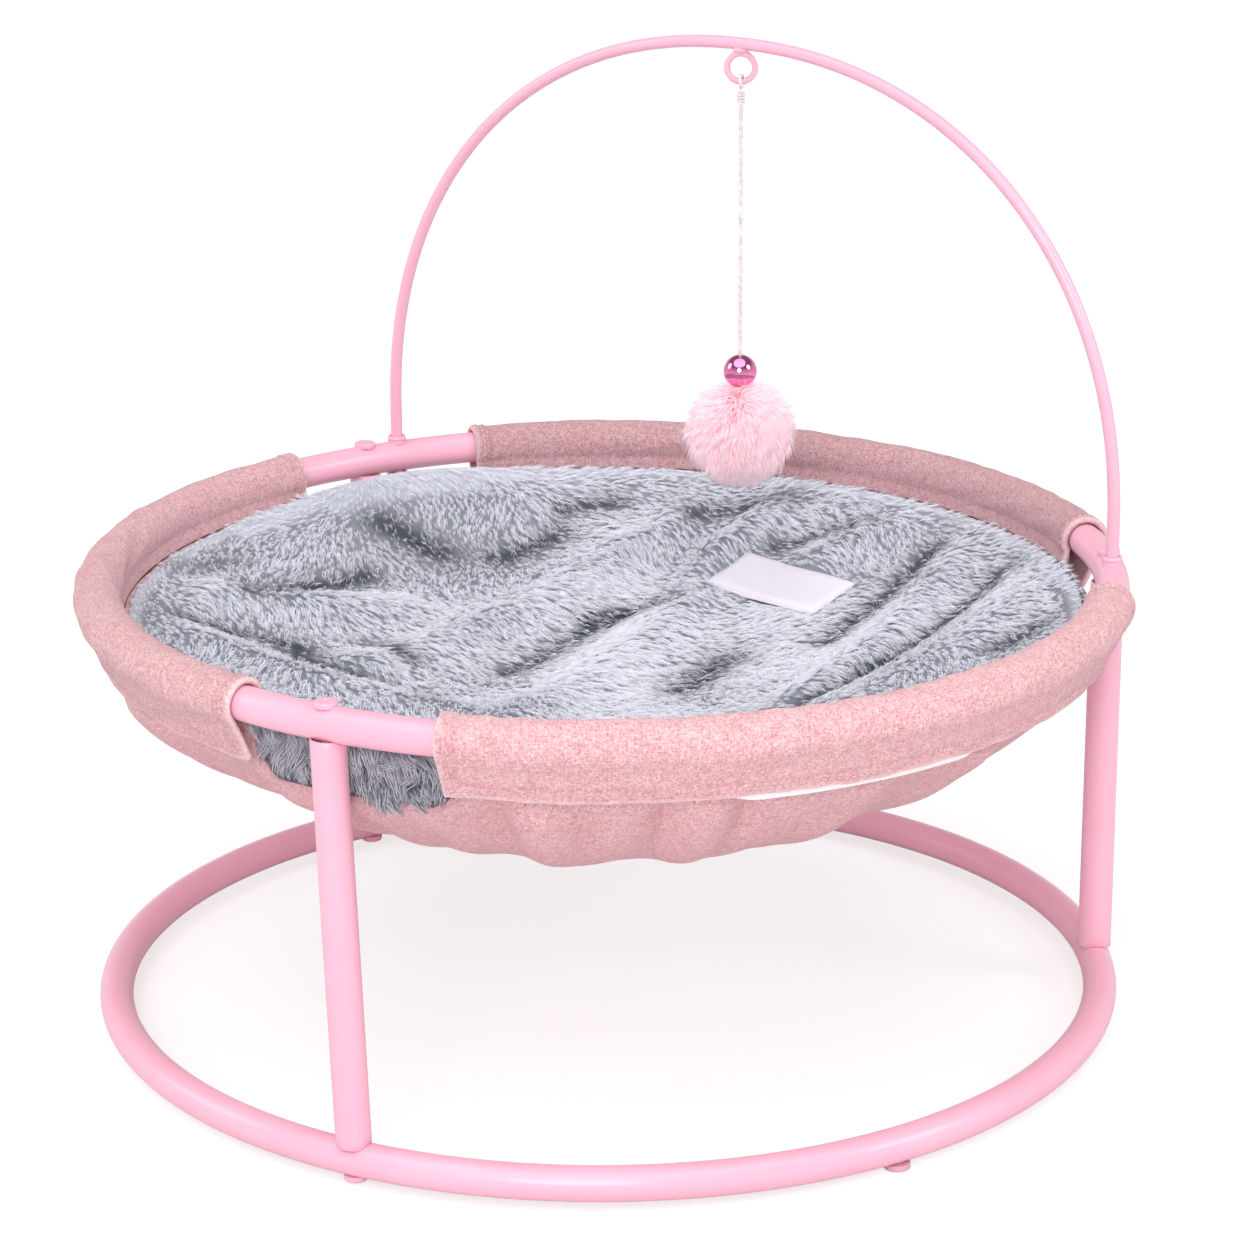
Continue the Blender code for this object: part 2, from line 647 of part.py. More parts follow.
def make_plush(grey):
    inset = SHELL_WALL + LINING_GAP
    edge = ring_of(bowl_point, 1.0, inset)
    lip = ring_of(lip_point, 1.0, inset)
    top = []
    for share in PLUSH_TOP_SHARES:
        loop = []
        for k, tip in enumerate(lip):
            reach = share * min(PLUSH_RADIUS, math.hypot(tip.x, tip.y))
            place = around(reach, 360 * k / RING_STEPS)
            loop.append(Vector((place.x, place.y, plush_top(place.x, place.y))))
        top.append(loop)
    side = []
    for k, (tip, high) in enumerate(zip(lip, top[-1])):
        degrees = 360 * k / RING_STEPS
        tucked = high + around(PLUSH_SIDE_BULGE, degrees, -PLUSH_SIDE_DROP)
        side.append(tucked.lerp(tip, min(1.0, pinch(degrees) / PLUSH_TUCK_SHARE)))
    bottom = [ring_of(bowl_point, share, inset) for share in PLUSH_BOTTOM_SHARES]
    high = Vector((0, 0, plush_top(0, 0)))
    low = Vector((0, 0, SHELL_FLOOR + inset))
    points, faces = loft([*top, side, edge, *bottom], cap_first=high, cap_last=low)
    make_object("plush_liner", points, faces, grey)
    return BVHTree.FromPolygons(points, faces)


def arc_degrees(start, end):
    """Stations along an arc: its two ends and the whole steps between them."""
    first = math.floor(start / SLEEVE_STEP_DEG) + 1
    inside = [k * SLEEVE_STEP_DEG for k in range(first, math.ceil(end / SLEEVE_STEP_DEG))]
    return [start, *inside, end]


def swept(name, section, start, end, material):
    """A closed (radius, height) section carried round the bed from start to end."""
    loops = [[around(r, degrees, z) for r, z in section] for degrees in arc_degrees(start, end)]
    make_object(name, *loft(loops, cap_first="flat", cap_last="flat"), material)


def wrap_points(radius, first, last):
    """The stretch of a circle round the rim tube from first to last degrees."""
    count = round(abs(first - last) / (360 / TUBE_SIDES))
    angles = [math.radians(first + (last - first) * k / count) for k in range(count + 1)]
    return [(RING_RADIUS + radius * math.cos(a), RIM_HEIGHT + radius * math.sin(a)) for a in angles]


def make_sleeves(linen, white):
    outer = wrap_points(SLEEVE_OUTER, SLEEVE_TUCK_DEG, SLEEVE_LEAVES_DEG)
    inner = wrap_points(SLEEVE_INNER, SLEEVE_LEAVES_DEG, SLEEVE_TUCK_DEG)
    band = [(band_radius(cloth, SLEEVE_HEM), SLEEVE_HEM) for cloth in (SLEEVE_OUTER, SLEEVE_INNER)]
    low = SLEEVE_HEM - TAPE_PROUD
    high = low + TAPE_WIDTH
    tape = []
    for height, inset in ((low, 0.0), (high, 0.0), (high, TAPE_THICKNESS), (low, TAPE_THICKNESS)):
        tape.append((band_radius(SLEEVE_INNER, height) - FIT_GAP - inset, height))
    for side, (start, end) in SLEEVES.items():
        swept("rim_sleeve_" + side, [*outer, *band, *inner], start, end, linen)
        swept("hook_tape_" + side, tape, start + TAPE_END_DEG, end - TAPE_END_DEG, white)


def make_label(plush, white):
    """A blank woven label lying on the plush."""
    turn = Matrix.Rotation(math.radians(LABEL_TURN_DEG), 2)
    centre = Vector(LABEL_PLACE_SHARES) * PLUSH_RADIUS
    across, down = LABEL_STEPS
    loops = []
    for lift in (FIT_GAP, FIT_GAP + LABEL_THICKNESS):
        rows = []
        for j in range(down + 1):
            row = []
            for i in range(across + 1):
                offset = Vector((LABEL_LENGTH * (i / across - 0.5), LABEL_WIDTH * (j / down - 0.5)))
                place = centre + turn @ offset
                row.append(Vector((place.x, place.y, label_height(plush, place) + lift)))
            rows.append(row)
        loops.append(rows)
    points = [p for rows in loops for row in rows for p in row]
    make_object("blank_label", points, slab_faces(across, down), white)


def label_height(plush, place):
    """The height of the plush under and close round a point of the label."""
    heights = []
    for dx, dy in ((0, 0), (1, 0), (-1, 0), (0, 1), (0, -1)):
        start = Vector((place.x + dx * LABEL_FEEL, place.y + dy * LABEL_FEEL, RIM_TOP))
        heights.append(plush.ray_cast(start, Vector((0, 0, -1)))[0].z)
    return max(heights)


def slab_faces(across, down):
    """Faces of a closed slab whose two grids follow each other in the point list."""
    wide = across + 1
    start = wide * (down + 1)
    faces = []
    for j in range(down):
        for i in range(across):
            a = j * wide + i
            quad = (a, a + 1, a + wide + 1, a + wide)
            faces += [tuple(reversed(quad)), tuple(start + k for k in quad)]
    edge = [i for i in range(across)] + [j * wide + across for j in range(down)]
    edge += [down * wide + across - i for i in range(across)] + [(down - j) * wide for j in range(down)]
    for a, b in zip(edge, edge[1:] + edge[:1]):
        faces.append((a, b, start + b, start + a))
    return faces


def main():
    clear_scene()
    pink = finish("pink powder coat", PINK, 0.35)
    steel = finish("plated steel", (0.72, 0.72, 0.74), 0.3, 1.0)
    glide = finish("moulded glide", (0.80, 0.60, 0.66), 0.5)
    linen = finish("pink linen", LINEN, 0.9)
    grey = finish("grey plush", GREY_PLUSH, 0.95)
    white = finish("white thread", WHITE, 0.8)
    chrome = finish("pink chrome", CHROME_PINK, 0.12, 1.0)
    fluff = finish("pink fluff", SOFT_PINK, 0.95)
    rim_seat = seat_cutter("rim_seat", RIM_HEIGHT)
    base_seat = seat_cutter("base_seat", BASE_HEIGHT)
    make_frame(pink, steel, glide, rim_seat, base_seat)
    make_arch(pink, steel, rim_seat)
    make_toy(pink, white, chrome, fluff)
    make_shell(linen)
    plush = make_plush(grey)
    make_sleeves(linen, white)
    make_label(plush, white)


main()
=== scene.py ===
"""Cat bed: the looks of the pink hammock bed, its steel frame, plush pad and hanging toy.

Metres, +Z up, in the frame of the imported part. Run as a script in Blender 4.5.
"""
import json
import math
import random

import bmesh
import bpy
import numpy as np
from bpy.props import FloatProperty, FloatVectorProperty, IntProperty
from mathutils import Matrix, Vector, noise
from mathutils.bvhtree import BVHTree

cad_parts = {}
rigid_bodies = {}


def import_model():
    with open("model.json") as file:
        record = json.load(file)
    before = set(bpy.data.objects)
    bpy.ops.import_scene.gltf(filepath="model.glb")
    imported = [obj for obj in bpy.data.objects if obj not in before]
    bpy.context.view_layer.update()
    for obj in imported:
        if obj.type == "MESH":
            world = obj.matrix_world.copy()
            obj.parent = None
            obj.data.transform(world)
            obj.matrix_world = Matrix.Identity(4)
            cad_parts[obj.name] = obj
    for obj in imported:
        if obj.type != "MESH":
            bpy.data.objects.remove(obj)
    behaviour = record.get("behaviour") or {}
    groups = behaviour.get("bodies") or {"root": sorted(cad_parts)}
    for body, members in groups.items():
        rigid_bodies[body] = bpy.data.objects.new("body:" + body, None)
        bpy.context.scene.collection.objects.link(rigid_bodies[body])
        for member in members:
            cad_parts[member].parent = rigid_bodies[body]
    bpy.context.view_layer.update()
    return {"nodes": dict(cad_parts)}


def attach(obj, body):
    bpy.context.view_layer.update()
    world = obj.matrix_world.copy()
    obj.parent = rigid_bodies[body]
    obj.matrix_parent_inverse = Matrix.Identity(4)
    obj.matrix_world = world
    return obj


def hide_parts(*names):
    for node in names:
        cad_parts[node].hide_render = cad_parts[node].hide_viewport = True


bl_info = {
    "name": "Hammock cat bed",
    "version": (1, 0, 0),
    "blender": (4, 5, 0),
    "location": "View3D > Sidebar > Cat Bed",
    "description": "Builds the finished look of a hammock cat bed on its packed frame",
    "category": "Add Mesh",
}

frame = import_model()
UP = Vector((0, 0, 1))

# Frame: directions are degrees round the bed, from +X towards +Y
TUBE_R = 0.008
RING_R = 0.240
RIM_Z = 0.213
BASE_Z = 0.011
LEG_BASE_DEG = {"front": 275.0, "right": 35.0, "left": 155.0}
LEG_RIM_DEG = {"front": 273.2, "right": 34.0, "left": 154.5}
LEG_CLEARANCE = 0.00015
ARCH_FOOT_DEG = {"right": 30.0, "left": 150.0}
GLIDE_DEG = (95.0, 215.0, 335.0)
OPENING_DEG = {"front": (262.5, 286.0), "right": (20.0, 45.0), "left": (140.0, 165.0)}
SLEEVES = {"right": (286.0, 380.0), "back": (45.0, 140.0), "left": (165.0, 262.5)}
ROD_R = 0.003
ARCH_HALF = RING_R * math.cos(math.radians(30))
ARCH_Y = RING_R * math.sin(math.radians(30))
ARCH_SPRING = 0.240
ARCH_RISE = 0.2094
ARCH_FULLNESS = 0.94
STUD_END = 0.1992
# Toy
EYE_CENTRE = Vector((0.0026, 0.12, 0.43779))
EYE_BEND_R = 0.0068
EYE_WIRE_R = 0.0015
EYE_TURN = math.radians(25)
EYE_ALONG = Vector((math.cos(EYE_TURN), math.sin(EYE_TURN), 0))
EYE_SQUARE = Vector((EYE_ALONG.y, -EYE_ALONG.x, 0))
LOOP_BEND_R = 0.0028
CORD_R = 0.001
STRAND_PITCH = 0.0085
KNOT_TOP = 0.4269
KNOT_BOTTOM = 0.4199
CORD_TOP = 0.4196
CORD_END = 0.2667
BEAD_R = 0.00825
BEAD_TOP = 0.2952
POMPOM_MIDDLE = 0.2560
# Bowl, sleeves and pad
SHELL_RIM = 0.189
SHELL_FLOOR = 0.120
SHELL_WALL = 0.002
SHELL_CLEARANCE = 0.0019
RIM_DIP = 0.0148
SLEEVE_INNER = 0.0085
SLEEVE_OUTER = 0.0111
SLEEVE_HEM = 0.1885
BAND_LEAVES = math.radians(-32)
PLUSH_R = 0.2276
PLUSH_EDGE = 0.2005
PLUSH_SAG = 0.040
RIDGE_HIGH = 0.0062
HOLLOW_DEEP = 0.0022
LABEL_SIZE = (0.070, 0.036)
LABEL_PLACE = (0.07 * PLUSH_R, 0.60 * PLUSH_R)
LABEL_TURN = math.radians(-8)
# Looks that several pieces share
SHARP_EDGE = math.radians(50)
ROOT_DEPTH = 0.0006
SWIRL_SEED = 3
# The colour that painted shade darkens hair and the plush backing towards
PAINTED_SHADE_COLOUR = (0.05, 0.055, 0.08)
# Creases and fullnesses of the bowl under the hem: their directions, height and width in degrees
BOWL_CREASES = (
    ((295.0, 305.0, 314.0, 323.5, 335.0, 350.0), 0.0026, 3.0),
    ((290.5, 300.5, 309.5, 318.6, 242.0, 226.0, 211.0), -0.0056, 1.5),
)
# How the hair's direction wanders over the plush: radians, waves along x and y, and where they start
COMB_WAVES = (
    (0.30, 12.0, 7.0, 1.0), (0.25, -17.0, 24.0, 0.4), (0.20, 52.0, 36.0, 2.0),
    (0.15, 81.0, -67.0, 0.0))
# Folds of the pad's face: where each starts and ends and its width, in shares of the pad's radius
RIDGES = (
    ((-0.30, 0.58), (-0.29, 0.96), 0.050),
    ((-0.12, 0.62), (-0.11, 0.97), 0.050),
    ((0.11, 0.72), (0.20, 0.96), 0.060),
    ((0.46, 0.00), (0.42, 0.84), 0.050),
    ((0.60, -0.05), (0.72, 0.76), 0.080),
    ((0.02, -0.42), (-0.10, 0.66), 0.065),
    ((-0.80, -0.58), (-0.10, -0.44), 0.065),
    ((-0.84, -0.31), (-0.55, 0.02), 0.062),
    ((-0.40, -0.30), (-0.33, 0.55), 0.070),
)
HOLLOWS = (
    ((-0.80, 0.31), (-0.66, 0.33), 0.084),
    ((-0.55, 0.41), (-0.50, 0.58), 0.050),
    ((-0.79, -0.20), (-0.71, 0.13), 0.060),
    ((-0.94, -0.29), (-0.91, -0.07), 0.030),
    ((-0.78, -0.47), (-0.57, -0.31), 0.050),
    ((-0.52, -0.38), (-0.19, -0.38), 0.050),
    ((-0.51, -0.18), (-0.37, -0.21), 0.040),
    ((-0.20, -0.09), (-0.21, 0.30), 0.050),
    ((-0.21, 0.30), (-0.13, 0.42), 0.045),
    ((0.16, 0.02), (0.15, 0.22), 0.075),
    ((-0.55, 0.66), (-0.45, 0.76), 0.034),
    ((-0.27, 0.78), (-0.09, 0.94), 0.044),
    ((-0.03, 0.75), (0.12, 0.88), 0.050),
    ((0.31, 0.36), (0.34, 0.81), 0.050),
    ((0.52, 0.20), (0.56, 0.73), 0.045),
    ((0.48, -0.12), (0.53, 0.23), 0.036),
    ((0.76, 0.30), (0.82, 0.46), 0.050),
)


# ---- property groups ----
def length_property(name, description, default, least):
    return FloatProperty(name=name, description=description, default=default, min=least, unit="LENGTH")


def colour_property(name, description, default):
    return FloatVectorProperty(name=name, description=description, subtype="COLOR", default=default)


class CatBedSizes(bpy.types.PropertyGroup):
    """Sizes of the finish that a user may change."""

    tuft_spacing: length_property("Tuft spacing", "Distance between tufts of the grey plush", 0.00225, 0.0015)
    pile_length: length_property(
        "Pile length", "Length of the longest hairs of the grey plush", 0.0125, 0.002)
    fluff_length: length_property("Fluff length", "Length of the hairs of the pom-pom", 0.0171, 0.002)
    fluff_hairs: IntProperty(
        name="Fluff hairs", description="How many bundles of hair the pom-pom has", default=2300, min=100)
    thread_pitch: length_property("Thread pitch", "Distance between threads of the linen", 0.0008, 0.0003)
    stitch_length: length_property("Stitch length", "Length of one stitch on the hems", 0.0026, 0.0005)


class CatBedColours(bpy.types.PropertyGroup):
    """Colours of the finish that a user may change."""

    paint: colour_property("Paint", "Powder coat of the steel", (0.89, 0.455, 0.575))
    linen: colour_property("Linen", "Ground colour of the linen", (0.62, 0.245, 0.275))
    linen_light: colour_property("Linen fleck", "Light threads of the linen", (0.97, 0.705, 0.725))
    plush_root: colour_property("Plush root", "Grey plush near its backing", (0.58, 0.585, 0.65))
    plush_tip: colour_property("Plush tip", "Grey plush at the tips", (0.735, 0.735, 0.80))
    fluff_root: colour_property("Fluff root", "Pom-pom near its middle", (1.0, 0.54, 0.64))
    fluff_tip: colour_property("Fluff tip", "Pom-pom at the tips", (1.0, 0.77, 0.83))
    bead: colour_property("Bead", "Plated bead", (0.90, 0.28, 0.52))


def sizes():
    return bpy.context.scene.cat_bed_sizes


def colours():
    return bpy.context.scene.cat_bed_colours


# ---- small tools ----
def smooth_share(value, low, high):
    """0 below low, 1 above high and an S between them."""
    share = np.clip((np.asarray(value, float) - low) / (high - low), 0, 1)
    return share * share * (3 - 2 * share)


def bell(value, middle, width):
    """1 at the middle, fading to both sides across a width."""
    return np.exp(-(((value - middle) / width) ** 2))


def turned_away(degrees, middle):
    """Degrees from a direction, between -180 and 180."""
    return (degrees - middle + 180) % 360 - 180


def turns(count):
    """Angles of a number of even steps round a circle."""
    return np.arange(count) * 2 * math.pi / count


def around(radius, degrees, height=0.0):
    angle = math.radians(degrees)
    return Vector((radius * math.cos(angle), radius * math.sin(angle), height))


def polar(reach, turn, height, foot=(0.0, 0.0)):
    """Points at a reach and a turn from an upright line, each at its height."""
    x, y = foot[0] + reach * np.cos(turn), foot[1] + reach * np.sin(turn)
    return np.stack(np.broadcast_arrays(x, y, height), -1)


def ball_ways(high, wide):
    """Unit vectors over a ball, in rows from its top, without its poles."""
    return [[Vector((math.sin(polar_angle) * math.cos(turn), math.sin(polar_angle) * math.sin(turn),
                     math.cos(polar_angle))) for turn in turns(wide)]
            for polar_angle in (math.pi * j / high for j in range(1, high))]


def run_lengths(points):
    """How far along a line of points each one is."""
    return np.concatenate([[0], np.cumsum(np.linalg.norm(np.diff(points, axis=0), axis=1))])


def new_object(name, data):
    obj = bpy.data.objects.new(name, data)
    bpy.context.scene.collection.objects.link(obj)
    return obj


def raw_mesh(name, points, edges, faces):
    mesh = bpy.data.meshes.new(name)
    mesh.from_pydata(points, edges, faces)
    return mesh


def store(mesh, name, values, kind="FLOAT"):
    """Keeps one value for each vertex of a mesh."""
    layer = mesh.attributes.new(name, kind, "POINT")
    field = "vector" if kind == "FLOAT_VECTOR" else "value"
    layer.data.foreach_set(field, np.asarray(values, np.float32).ravel())


def places_of(mesh):
    places = np.zeros(len(mesh.vertices) * 3, np.float32)
    mesh.vertices.foreach_get("co", places)
    return places.reshape(-1, 3)


def faces_of(mesh):
    return [tuple(polygon.vertices) for polygon in mesh.polygons]


def drop(obj):
    mesh = obj.data
    bpy.data.objects.remove(obj)
    bpy.data.meshes.remove(mesh)


def mesh_piece(name, points, faces, material, uvs=None):
    mesh = raw_mesh(name, points, [], faces)
    if uvs is not None:
        layer = mesh.uv_layers.new(name="cloth")
        layer.data.foreach_set("uv", np.asarray(uvs, np.float32).ravel())
    work = bmesh.new()
    work.from_mesh(mesh)
    bmesh.ops.recalc_face_normals(work, faces=work.faces)
    work.to_mesh(mesh)
    work.free()
    mesh.shade_smooth()
    mesh.set_sharp_from_angle(angle=SHARP_EDGE)
    mesh.materials.append(material)
    return new_object(name, mesh)


def grid_piece(name, rows, material, wrap_rows=False, poles=(None, None), uv=None):
    """A closed skin over a grid of points whose rows are rings.

    uv has a place for each row and column and for the repeat of the first ones."""
    rows = np.asarray(rows, float)
    high, wide = rows.shape[:2]
    r, c = np.meshgrid(np.arange(high if wrap_rows else high - 1), np.arange(wide), indexing="ij")
    corners = [(r, c), (r, c + 1), (r + 1, c + 1), (r + 1, c)]
    faces = np.stack([(a % high) * wide + (b % wide) for a, b in corners], -1).reshape(-1, 4).tolist()
    points = rows.reshape(-1, 3).tolist()
    uvs = None
    if uv is not None:
        uvs = np.stack([uv[a, b] for a, b in corners], -2).reshape(-1, 2).tolist()
    for pole, row in zip(poles, (0, high - 1)):
        if pole is None:
            continue
        points.append(list(pole))
        for i in range(wide):
            faces.append([row * wide + i, row * wide + (i + 1) % wide, len(points) - 1])
            if uvs is not None:
                a, b = uv[row, i], uv[row, i + 1]
                uvs += [list(a), list(b), [(a[0] + b[0]) / 2, (a[1] + b[1]) / 2]]
    return mesh_piece(name, points, faces, material, uvs)


def place_piece(obj, body, slot, *nodes):
    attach(obj, body)
    if nodes:
        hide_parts(*nodes)
    return obj


def lathe(name, outline, material, foot, lean=Vector((0, 0, 0)), sides=40, closed=False):
    """A (radius, height) outline turned about an axis: its foot on the floor and its run for each rise."""
    rows = [polar(radius, turns(sides), height, foot + lean * height) for radius, height in outline]
    if closed:
        return grid_piece(name, rows, material, wrap_rows=True)
    poles = [foot + (lean + UP) * outline[k][1] for k in (0, -1)]
    return grid_piece(name, rows, material, poles=poles)


def rounded(corners, radius, steps=5):
    """An outline with its inner corners rounded off."""
    path = [corners[0]]
    for before, corner, after in zip(corners, corners[1:], corners[2:]):
        b, c, a = (Vector(p) for p in (before, corner, after))
        cut = min(radius, (b - c).length / 2.2, (a - c).length / 2.2)
        first, last = c + (b - c).normalized() * cut, c + (a - c).normalized() * cut
        for k in range(steps + 1):
            t = k / steps
            path.append(tuple(first * (1 - t) ** 2 + c * 2 * t * (1 - t) + last * t * t))
    path.append(corners[-1])
    return path


def swept_tube(name, route, radius, material, sides=24):
    """A round bar along a route. radius is a function of length and angle."""
    route = np.asarray([tuple(p) for p in route], float)
    step = np.gradient(route, axis=0)
    tangent = step / np.linalg.norm(step, axis=1)[:, None]
    normal = np.cross(tangent[0], (0.31, 0.72, 0.19))
    length, turn = run_lengths(route), turns(sides)
    rows = []
    for place, t, s in zip(route, tangent, length):
        normal = normal - t * (normal @ t)
        normal = normal / np.linalg.norm(normal)
        square = np.cross(t, normal)
        ways = np.cos(turn)[:, None] * normal + np.sin(turn)[:, None] * square
        rows.append(place + radius(s, turn)[:, None] * ways)
    across = np.arange(sides + 1) * 2 * math.pi * float(np.mean(radius(0.0, turn))) / sides
    uv = np.stack(np.meshgrid(length, across, indexing="ij"), -1)
    return grid_piece(name, rows, material, poles=(route[0], route[-1]), uv=uv)


def plain_round(radius):
    """The section of a bar that is round and of one thickness."""
    return lambda length, turn: np.full(len(turn), radius)


def leg_axis(side):
    base = around(RING_R, LEG_BASE_DEG[side])
    lean = (around(RING_R, LEG_RIM_DEG[side]) - base) / (RIM_Z - BASE_Z)
    return base - lean * BASE_Z, lean


def evaluated_mesh(obj, name):
    """Gives an object the plain mesh that its modifiers make; the modifiers go."""
    graph = bpy.context.evaluated_depsgraph_get()
    mesh = bpy.data.meshes.new_from_object(obj.evaluated_get(graph), depsgraph=graph)
    obj.modifiers.clear()
    old = obj.data
    obj.data = mesh
    if old.users == 0:
        bpy.data.meshes.remove(old)
    obj.name = mesh.name = name


def made_once(library, usual=None):
    """Lets the maker of a named material or node tree run once; later calls find it by its name."""
    def wrap(make):
        def found(name=usual, *rest):
            return getattr(bpy.data, library).get(name) or make(name, *rest)
        return found
    return wrap


# ---- node tools ----
def feed(tree, socket, value):
    """Links a value that is a socket, and sets one that is plain."""
    if isinstance(value, bpy.types.NodeSocket):
        tree.links.new(value, socket)
    else:
        socket.default_value = (*value[:3], 1.0) if socket.type == "RGBA" else value


def node(tree, kind, inputs=None, **settings):
    made = tree.nodes.new(kind)
    for key, value in settings.items():
        setattr(made, key, value)
    for key, value in (inputs or {}).items():
        feed(tree, made.inputs[key], value)
    return made


def calc(tree, operation, *values):
    return node(tree, "ShaderNodeMath", dict(enumerate(values)), operation=operation).outputs[0]


def spread_range(tree, value, low, high):
    """0 where the value is low, 1 where it is high."""
    return node(tree, "ShaderNodeMapRange", {"Value": value, "From Min": low, "From Max": high}).outputs[0]


def blend_colours(tree, share, first, second):
    return node(tree, "ShaderNodeMix", {0: share, 6: first, 7: second}, data_type="RGBA",
                clamp_factor=True).outputs[2]


def blotches(tree, place, scale, detail, output="Fac", **more):
    inputs = {"Vector": place, "Scale": scale, "Detail": detail, **more}
    return node(tree, "ShaderNodeTexNoise", inputs).outputs[output]


def attribute(tree, name):
    return node(tree, "ShaderNodeAttribute", attribute_name=name).outputs["Fac"]


def cloth_place(tree):
    return node(tree, "ShaderNodeUVMap", uv_map="cloth").outputs[0]


def object_place(tree):
    return node(tree, "ShaderNodeTexCoord").outputs["Object"]


def new_group(name, kind, inputs, outputs):
    """A node group. An input is the kind of its socket, or the usual value of a float or whole number."""
    group = bpy.data.node_groups.new(name, kind)
    for label, value in inputs.items():
        word = value if isinstance(value, str) else "Int" if isinstance(value, int) else "Float"
        socket = group.interface.new_socket(label, in_out="INPUT", socket_type="NodeSocket" + word)
        if word is not value:
            socket.default_value = value
    for label, word in outputs.items():
        group.interface.new_socket(label, in_out="OUTPUT", socket_type="NodeSocket" + word)
    return group, group.nodes.new("NodeGroupInput").outputs, group.nodes.new("NodeGroupOutput")


# ---- shader groups ----
@made_once("node_groups", "plain weave")
def weave_group(name):
    """Plain weave with slubs: colour and height from a place on the cloth in metres."""
    tree, given, out = new_group(
        name, "ShaderNodeTree",
        {"Place": "Vector", "Pitch": 0.0012, "Ground": "Color", "Fleck": "Color", "Slub": 1.0},
        {"Colour": "Color", "Height": "Float"})
    pitch = node(tree, "ShaderNodeCombineXYZ", {k: given["Pitch"] for k in range(3)}).outputs[0]
    scaled = node(tree, "ShaderNodeVectorMath", {0: given["Place"], 1: pitch}, operation="DIVIDE").outputs[0]
    warm = blotches(tree, scaled, 0.13, 2.0, "Color")
    sway = node(tree, "ShaderNodeVectorMath", {0: warm, 1: (0.5, 0.5, 0.5)}, operation="SUBTRACT").outputs[0]
    swayed = node(tree, "ShaderNodeVectorMath", {0: sway, 1: (0.7, 0.7, 0.0), 2: scaled},
                  operation="MULTIPLY_ADD").outputs[0]
    u, v = node(tree, "ShaderNodeSeparateXYZ", {0: swayed}).outputs[:2]
    column, row = calc(tree, "FLOOR", u), calc(tree, "FLOOR", v)
    over = calc(tree, "LESS_THAN", calc(tree, "FLOORED_MODULO", calc(tree, "ADD", column, row), 4.0), 1.5)
    under = calc(tree, "SUBTRACT", 1.0, over)
    bulge_u, bulge_v = (calc(tree, "ABSOLUTE", calc(tree, "SINE", calc(tree, "MULTIPLY", way, math.pi)))
                        for way in (u, v))
    warp_up = calc(tree, "MULTIPLY", bulge_u, calc(tree, "MULTIPLY_ADD", bulge_v, 0.6, 0.4))
    weft_up = calc(tree, "MULTIPLY", bulge_v, calc(tree, "MULTIPLY_ADD", bulge_u, 0.6, 0.4))
    height = calc(tree, "ADD", calc(tree, "MULTIPLY", warp_up, over), calc(tree, "MULTIPLY", weft_up, under))
    slubs = []
    for index, along, slice_at in ((column, v, 3.1), (row, u, 12.8)):
        place = node(tree, "ShaderNodeCombineXYZ", {0: calc(tree, "MULTIPLY", index, 1.7),
                                                    1: calc(tree, "MULTIPLY", along, 0.21), 2: slice_at})
        slubs.append(blotches(tree, place.outputs[0], 1.0, 2.0, Roughness=0.6))
    thread = calc(tree, "ADD", calc(tree, "MULTIPLY", slubs[0], over), calc(tree, "MULTIPLY", slubs[1], under))
    speck = blotches(tree, swayed, 1.1, 2.0, Roughness=0.6)
    streak_place = node(tree, "ShaderNodeVectorMath", {0: scaled, 1: (0.35, 0.05, 1.0)}, operation="MULTIPLY")
    streak = blotches(tree, streak_place.outputs[0], 1.0, 2.0)
    off_curl = calc(tree, "ABSOLUTE", calc(tree, "SUBTRACT", blotches(tree, swayed, 0.50, 1.0), 0.5))
    curls = calc(tree, "MAXIMUM", 0.0, calc(tree, "MULTIPLY_ADD", off_curl, -10.0, 1.0))
    mixed = calc(tree, "MULTIPLY", thread, 0.60)
    for part, share in ((height, 0.12), (speck, 0.20), (curls, 0.13), (streak, 0.12)):
        mixed = calc(tree, "MULTIPLY_ADD", part, share, mixed)
    fleck = calc(tree, "MULTIPLY", spread_range(tree, mixed, 0.41, 0.78), given["Slub"])
    feed(tree, out.inputs["Colour"], blend_colours(tree, fleck, given["Ground"], given["Fleck"]))
    feed(tree, out.inputs["Height"], calc(tree, "MULTIPLY_ADD", thread, 0.5, height))
    return tree


@made_once("node_groups", "soft mottle")
def mottle_group(name):
    """A slow change of tone over a surface, with a fine grain for bump."""
    group, given, out = new_group(
        name, "ShaderNodeTree",
        {"Place": "Vector", "Patch Scale": 18.0, "Grain Scale": 900.0, "First": "Color", "Second": "Color"},
        {"Colour": "Color", "Grain": "Float"})
    patch = spread_range(group, blotches(group, given["Place"], given["Patch Scale"], 3.0), 0.35, 0.65)
    feed(group, out.inputs["Colour"], blend_colours(group, patch, given["First"], given["Second"]))
    feed(group, out.inputs["Grain"], blotches(group, given["Place"], given["Grain Scale"], 1.0))
    return group


